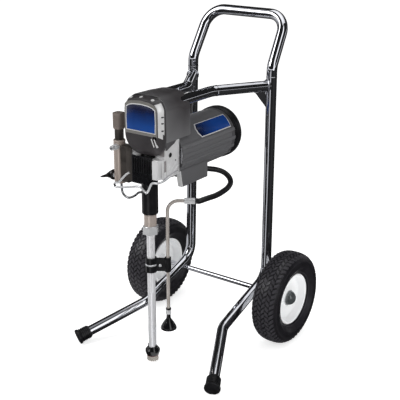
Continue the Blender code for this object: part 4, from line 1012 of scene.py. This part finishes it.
def makeReturnLine():
    corner = drainAt + Vector((0, 0, hose["height"]))
    near = corner + outward * 0.047
    foot = drainAt + Vector((0, 0, pump["drainFoot"]))
    settle(pipe(bent([near, corner, foot], pump["drainBend"]), pump["drain"], 6), "drainTube",
           "paleNickel", ("drain_tube",), 40)
    ferrule = [(0.0035, 0.0), (0.0076, 0.0), (0.0084, 0.0008), (0.0084, 0.006), (0.009, 0.0064),
               (0.009, 0.012), (0.0085, 0.0124), (0.0085, 0.0136), (0.009, 0.014), (0.009, 0.02),
               (0.0085, 0.0204), (0.0085, 0.0216), (0.009, 0.022), (0.009, 0.0296), (0.0084, 0.0302),
               (0.0035, 0.0302)]
    settle(turned(ferrule, drainAt + outward * hose["start"][0] + Vector((0, 0, hose["height"])), outward,
                  40), "hoseFerrule", "zinc", ("hose_ferrule",))
    bell = [(0.0035, 0.1555), (0.006, 0.1555), (0.0064, 0.143), (0.008, 0.1395), (0.013, 0.1325),
            (0.0185, 0.1235), (0.022, 0.1165), (0.0233, 0.112), (0.0233, 0.1096), (0.0226, 0.109),
            (0.0214, 0.1092), (0.0206, 0.115), (0.011, 0.131), (0.0035, 0.141)]
    settle(turned(bell, drainAt, upward, 56), "drainNozzle", "glossBlack",
           ("drain_nozzle",))
    fitting = [(0.0035, 0.1558), (0.007, 0.1558), (0.0077, 0.1566), (0.0077, 0.161), (0.007, 0.1615),
               (0.007, 0.1625), (0.0077, 0.163), (0.0077, 0.169), (0.007, 0.1698), (0.0035, 0.1698)]
    settle(turned(fitting, drainAt, upward, 40), "nozzleFitting", "zinc")
    lock = [(0.0051, 0.17), (0.0076, 0.17), (0.0078, 0.1708), (0.0078, 0.1738), (0.0072, 0.1745),
            (0.0051, 0.1745)]
    settle(turned(lock, drainAt, upward, 40), "nozzleLock", "black")
    base = at(0, pump["y"], 0)
    settle(band(base + Vector((0, 0, 0.3125)), upward, 0.0155, 0.01655, 0.005), "clampBand", "zinc")
    bolt = turned([(0.0, 0.0), (0.0042, 0.0), (0.0042, 0.003), (0.003, 0.0042), (0.0, 0.0042)],
                  base + outward * 0.0265 + Vector((0.003, -0.0048, 0.3115)), (outward.y, -outward.x, 0),
                  24)
    settle(bolt, "clampBolt", "zinc")


makePump()
makeReturnLine()
print("pump and return line done")


filterUnit = {"place": (-0.1015, -0.352), "outlet": (-0.0985, -0.364, 0.648),
              "prime": (-0.1203, -0.3555, 0.559), "tube": 0.0034, "loopTop": 0.5397}


def makeFilter():
    base = at(*filterUnit["place"], 0)
    body = [(0.0, 0.54), (0.015, 0.54), (0.0165, 0.541), (0.017, 0.5425), (0.017, 0.55), (0.0163, 0.5506),
            (0.0163, 0.553), (0.017, 0.5536), (0.017, 0.656), (0.0163, 0.6566), (0.0163, 0.659),
            (0.017, 0.6596), (0.017, 0.664), (0.016, 0.665), (0.0, 0.665)]
    arm = box((-0.0935, -0.0603), (-0.364, -0.336), (0.548, 0.652), 0.0015)
    barb = turned([(0.0, 0.0), (0.0055, 0.0), (0.0055, 0.03), (0.0048, 0.032), (0.0, 0.032)],
                  at(*hose["barb"][:1], filterUnit["place"][1], hose["barb"][2]), (0, 1, 0), 24)
    settle(joined(turned(body, base, upward), barb), "filterBody", "nickel", ("filter_body",))
    # the arm and the neck below take the painted-shadow finish, darker than the nickel where they sit in
    # shade
    settle(arm, "filterArm", "paintedShadowBronze")
    neck = turned([(0.0, 0.6653), (0.0128, 0.6653), (0.0128, 0.7), (0.0, 0.7)], base, upward)
    settle(neck, "filterNeck", "paintedShadowBronze")
    block = bevelled(slab([(base.x + x, base.y + y) for x, y in ((-0.014, -0.0095), (-0.0095, -0.014),
                                                                 (0.0095, -0.014), (0.014, -0.0095),
                                                                 (0.014, 0.0095), (0.0095, 0.014),
                                                                 (-0.0095, 0.014), (-0.014, 0.0095))],
                          0.6985, 0.7418, "Z"), 0.0012)
    collar = turned([(0.0, 0.696), (0.015, 0.696), (0.0156, 0.6966), (0.0156, 0.701), (0.015, 0.7016),
                     (0.0, 0.7016)], base, upward)
    bead = turned([(0.0, 0.0), (0.003, 0.0), (0.0026, 0.001), (0.0, 0.0014)], at(-0.1055, -0.3659, 0.729),
                  (0, -1, 0), 20)
    settle(joined(block, collar, bead), "filterCap", "darkNickel", ("filter_cap",))
    outlet = at(*filterUnit["outlet"])
    nut = hexBar(0.0092, outlet, (0, -1, 0), 0.015, 0.0007)
    tip = turned([(0.0038, 0.014), (0.0062, 0.014), (0.007, 0.015), (0.007, 0.0172), (0.0064, 0.0178),
                  (0.007, 0.0184), (0.007, 0.0206), (0.0064, 0.0212), (0.007, 0.0218), (0.007, 0.025),
                  (0.0062, 0.027), (0.0038, 0.027)], outlet, (0, -1, 0), 32)
    settle(joined(nut, tip), "outletFitting", "zinc", ("outlet_fitting",))
    hub = at(*filterUnit["prime"])
    knob = turned([(0.0, 0.0), (0.014, 0.0), (0.015, 0.001), (0.015, 0.0058), (0.0142, 0.007),
                   (0.01, 0.007), (0.009, 0.0062), (0.0, 0.0062)], hub, (-1, 0, 0), 48)
    lever = [(0.004, -0.011), (0.004, 0.012), (-0.01, 0.0095), (-0.022, 0.0055), (-0.046, 0.0055),
             (-0.046, 0.0025), (-0.022, -0.003), (-0.01, -0.009)]
    grip = slab([(hub.y + y, hub.z + z) for y, z in lever], hub.x - 0.013, hub.x - 0.006, "X")
    settle(joined(knob, bevelled(grip, 0.0012)), "primeLever", "black",
           ("prime_handle",), body="prime_lever")
    loop = [(-0.0985, filterUnit["loopTop"]), (-0.098, 0.528), (-0.094, 0.508), (-0.076, 0.4985),
            (-0.0535, 0.5075), (-0.037, 0.521), (-0.026, 0.525)]
    loop = [at(x, filterUnit["place"][1], z) for x, z in loop]
    settle(pipe(smooth(loop), filterUnit["tube"], 5), "transferTube", "steel",
           ("transfer_tube",), 40)


hook = {"front": -0.3805, "wire": 0.0031}


def makeHook():
    front = hook["front"]
    route = [(0.064, -0.3, 0.59), (0.064, -0.335, 0.585), (0.0635, -0.366, 0.578), (0.054, front, 0.574),
             (0.035, front, 0.57), (0.025, front, 0.552), (0.016, front, 0.539), (0.006, front, 0.544),
             (-0.01, front, 0.552), (-0.045, front, 0.544), (-0.085, front, 0.5355),
             (-0.096, front, 0.536), (-0.1, front + 0.0005, 0.542), (-0.095, front + 0.001, 0.547),
             (-0.084, front + 0.001, 0.55), (-0.072, front + 0.002, 0.563), (-0.06, -0.3765, 0.576),
             (-0.048, -0.3756, 0.584)]
    path = smooth([at(*point) for point in route], 5)
    settle(pipe(path, hook["wire"], 5), "pailHook", "zinc", ("pail_hook",), 40)
    tip = [point for point in path if point.x < -0.094][:9]
    settle(pipe(tip, hook["wire"] + 0.00008, 4), "hookTip", "black", angle=40)


makeFilter()
makeHook()


panel = {"out": -0.079, "knobY": -0.234, "z": 0.5705}


def makeControls():
    place = at(panel["out"] - 0.0003, panel["knobY"], panel["z"])
    profile = [(0.0, 0.0), (0.0118, 0.0), (0.0125, 0.0008), (0.0125, 0.0118), (0.0112, 0.0146),
               (0.01, 0.015), (0.0, 0.015)]
    knob = turned(profile, place, (-1, 0, 0), 48)
    for vert in knob.data.vertices:           # finger grooves round the rim
        away = Vector((0, vert.co.y - place.y, vert.co.z - place.z))
        if away.length > 0.0115:
            turn = math.atan2(away.z, away.y)
            fit = 1 - 0.03 * (0.5 + 0.5 * math.cos(turn * 12))
            vert.co.y, vert.co.z = place.y + away.y * fit, place.z + away.z * fit
    pointer = box((place.x - 0.0165, place.x - 0.014), (panel["knobY"] - 0.0013, panel["knobY"] + 0.0013),
                  (panel["z"], panel["z"] + 0.011), 0.0004)
    settle(joined(knob, pointer), "pressureKnob", "black", ("pressure_knob",),
           body="knob")
    ticks = []
    for step in range(11):
        turn = math.radians(-45 + 27 * step)
        spot = place + Vector((0.0001, math.cos(turn) * 0.0142, math.sin(turn) * 0.0136))
        ticks.append(turned([(0.0, 0.0), (0.0006, 0.0), (0.0005, 0.0003), (0.0, 0.0003)], spot,
                            (-1, 0, 0), 8))
    settle(joined(*ticks), "dialTicks", "white")


makeControls()
print("filter, hook and controls done")


kept = {
    "castAluminium": ("drive_housing", "connecting_rod"),
    "steel": ("motor_stator", "motor_rotor", "front_bearing", "rear_bearing", "idler_gear", "crankshaft",
              "wrist_pin", "piston_rod", "intake_ball"),
    "black": ("cooling_fan", "left_wheel_bush", "right_wheel_bush", "tube_clamp", "power_switch"),
    "zinc": ("prime_valve", "intake_valve"),
    "trimAndHighlight": ("box_front_plate",),
    "cowlPaintDarkenedForShade": ("control_box",),
    "board": ("circuit_board",),
    "mesh": ("filter_element",),
}
for finish, names in kept.items():
    for name in names:
        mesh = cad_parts[name].data
        mesh.materials.clear()
        mesh.materials.append(finishes[finish])
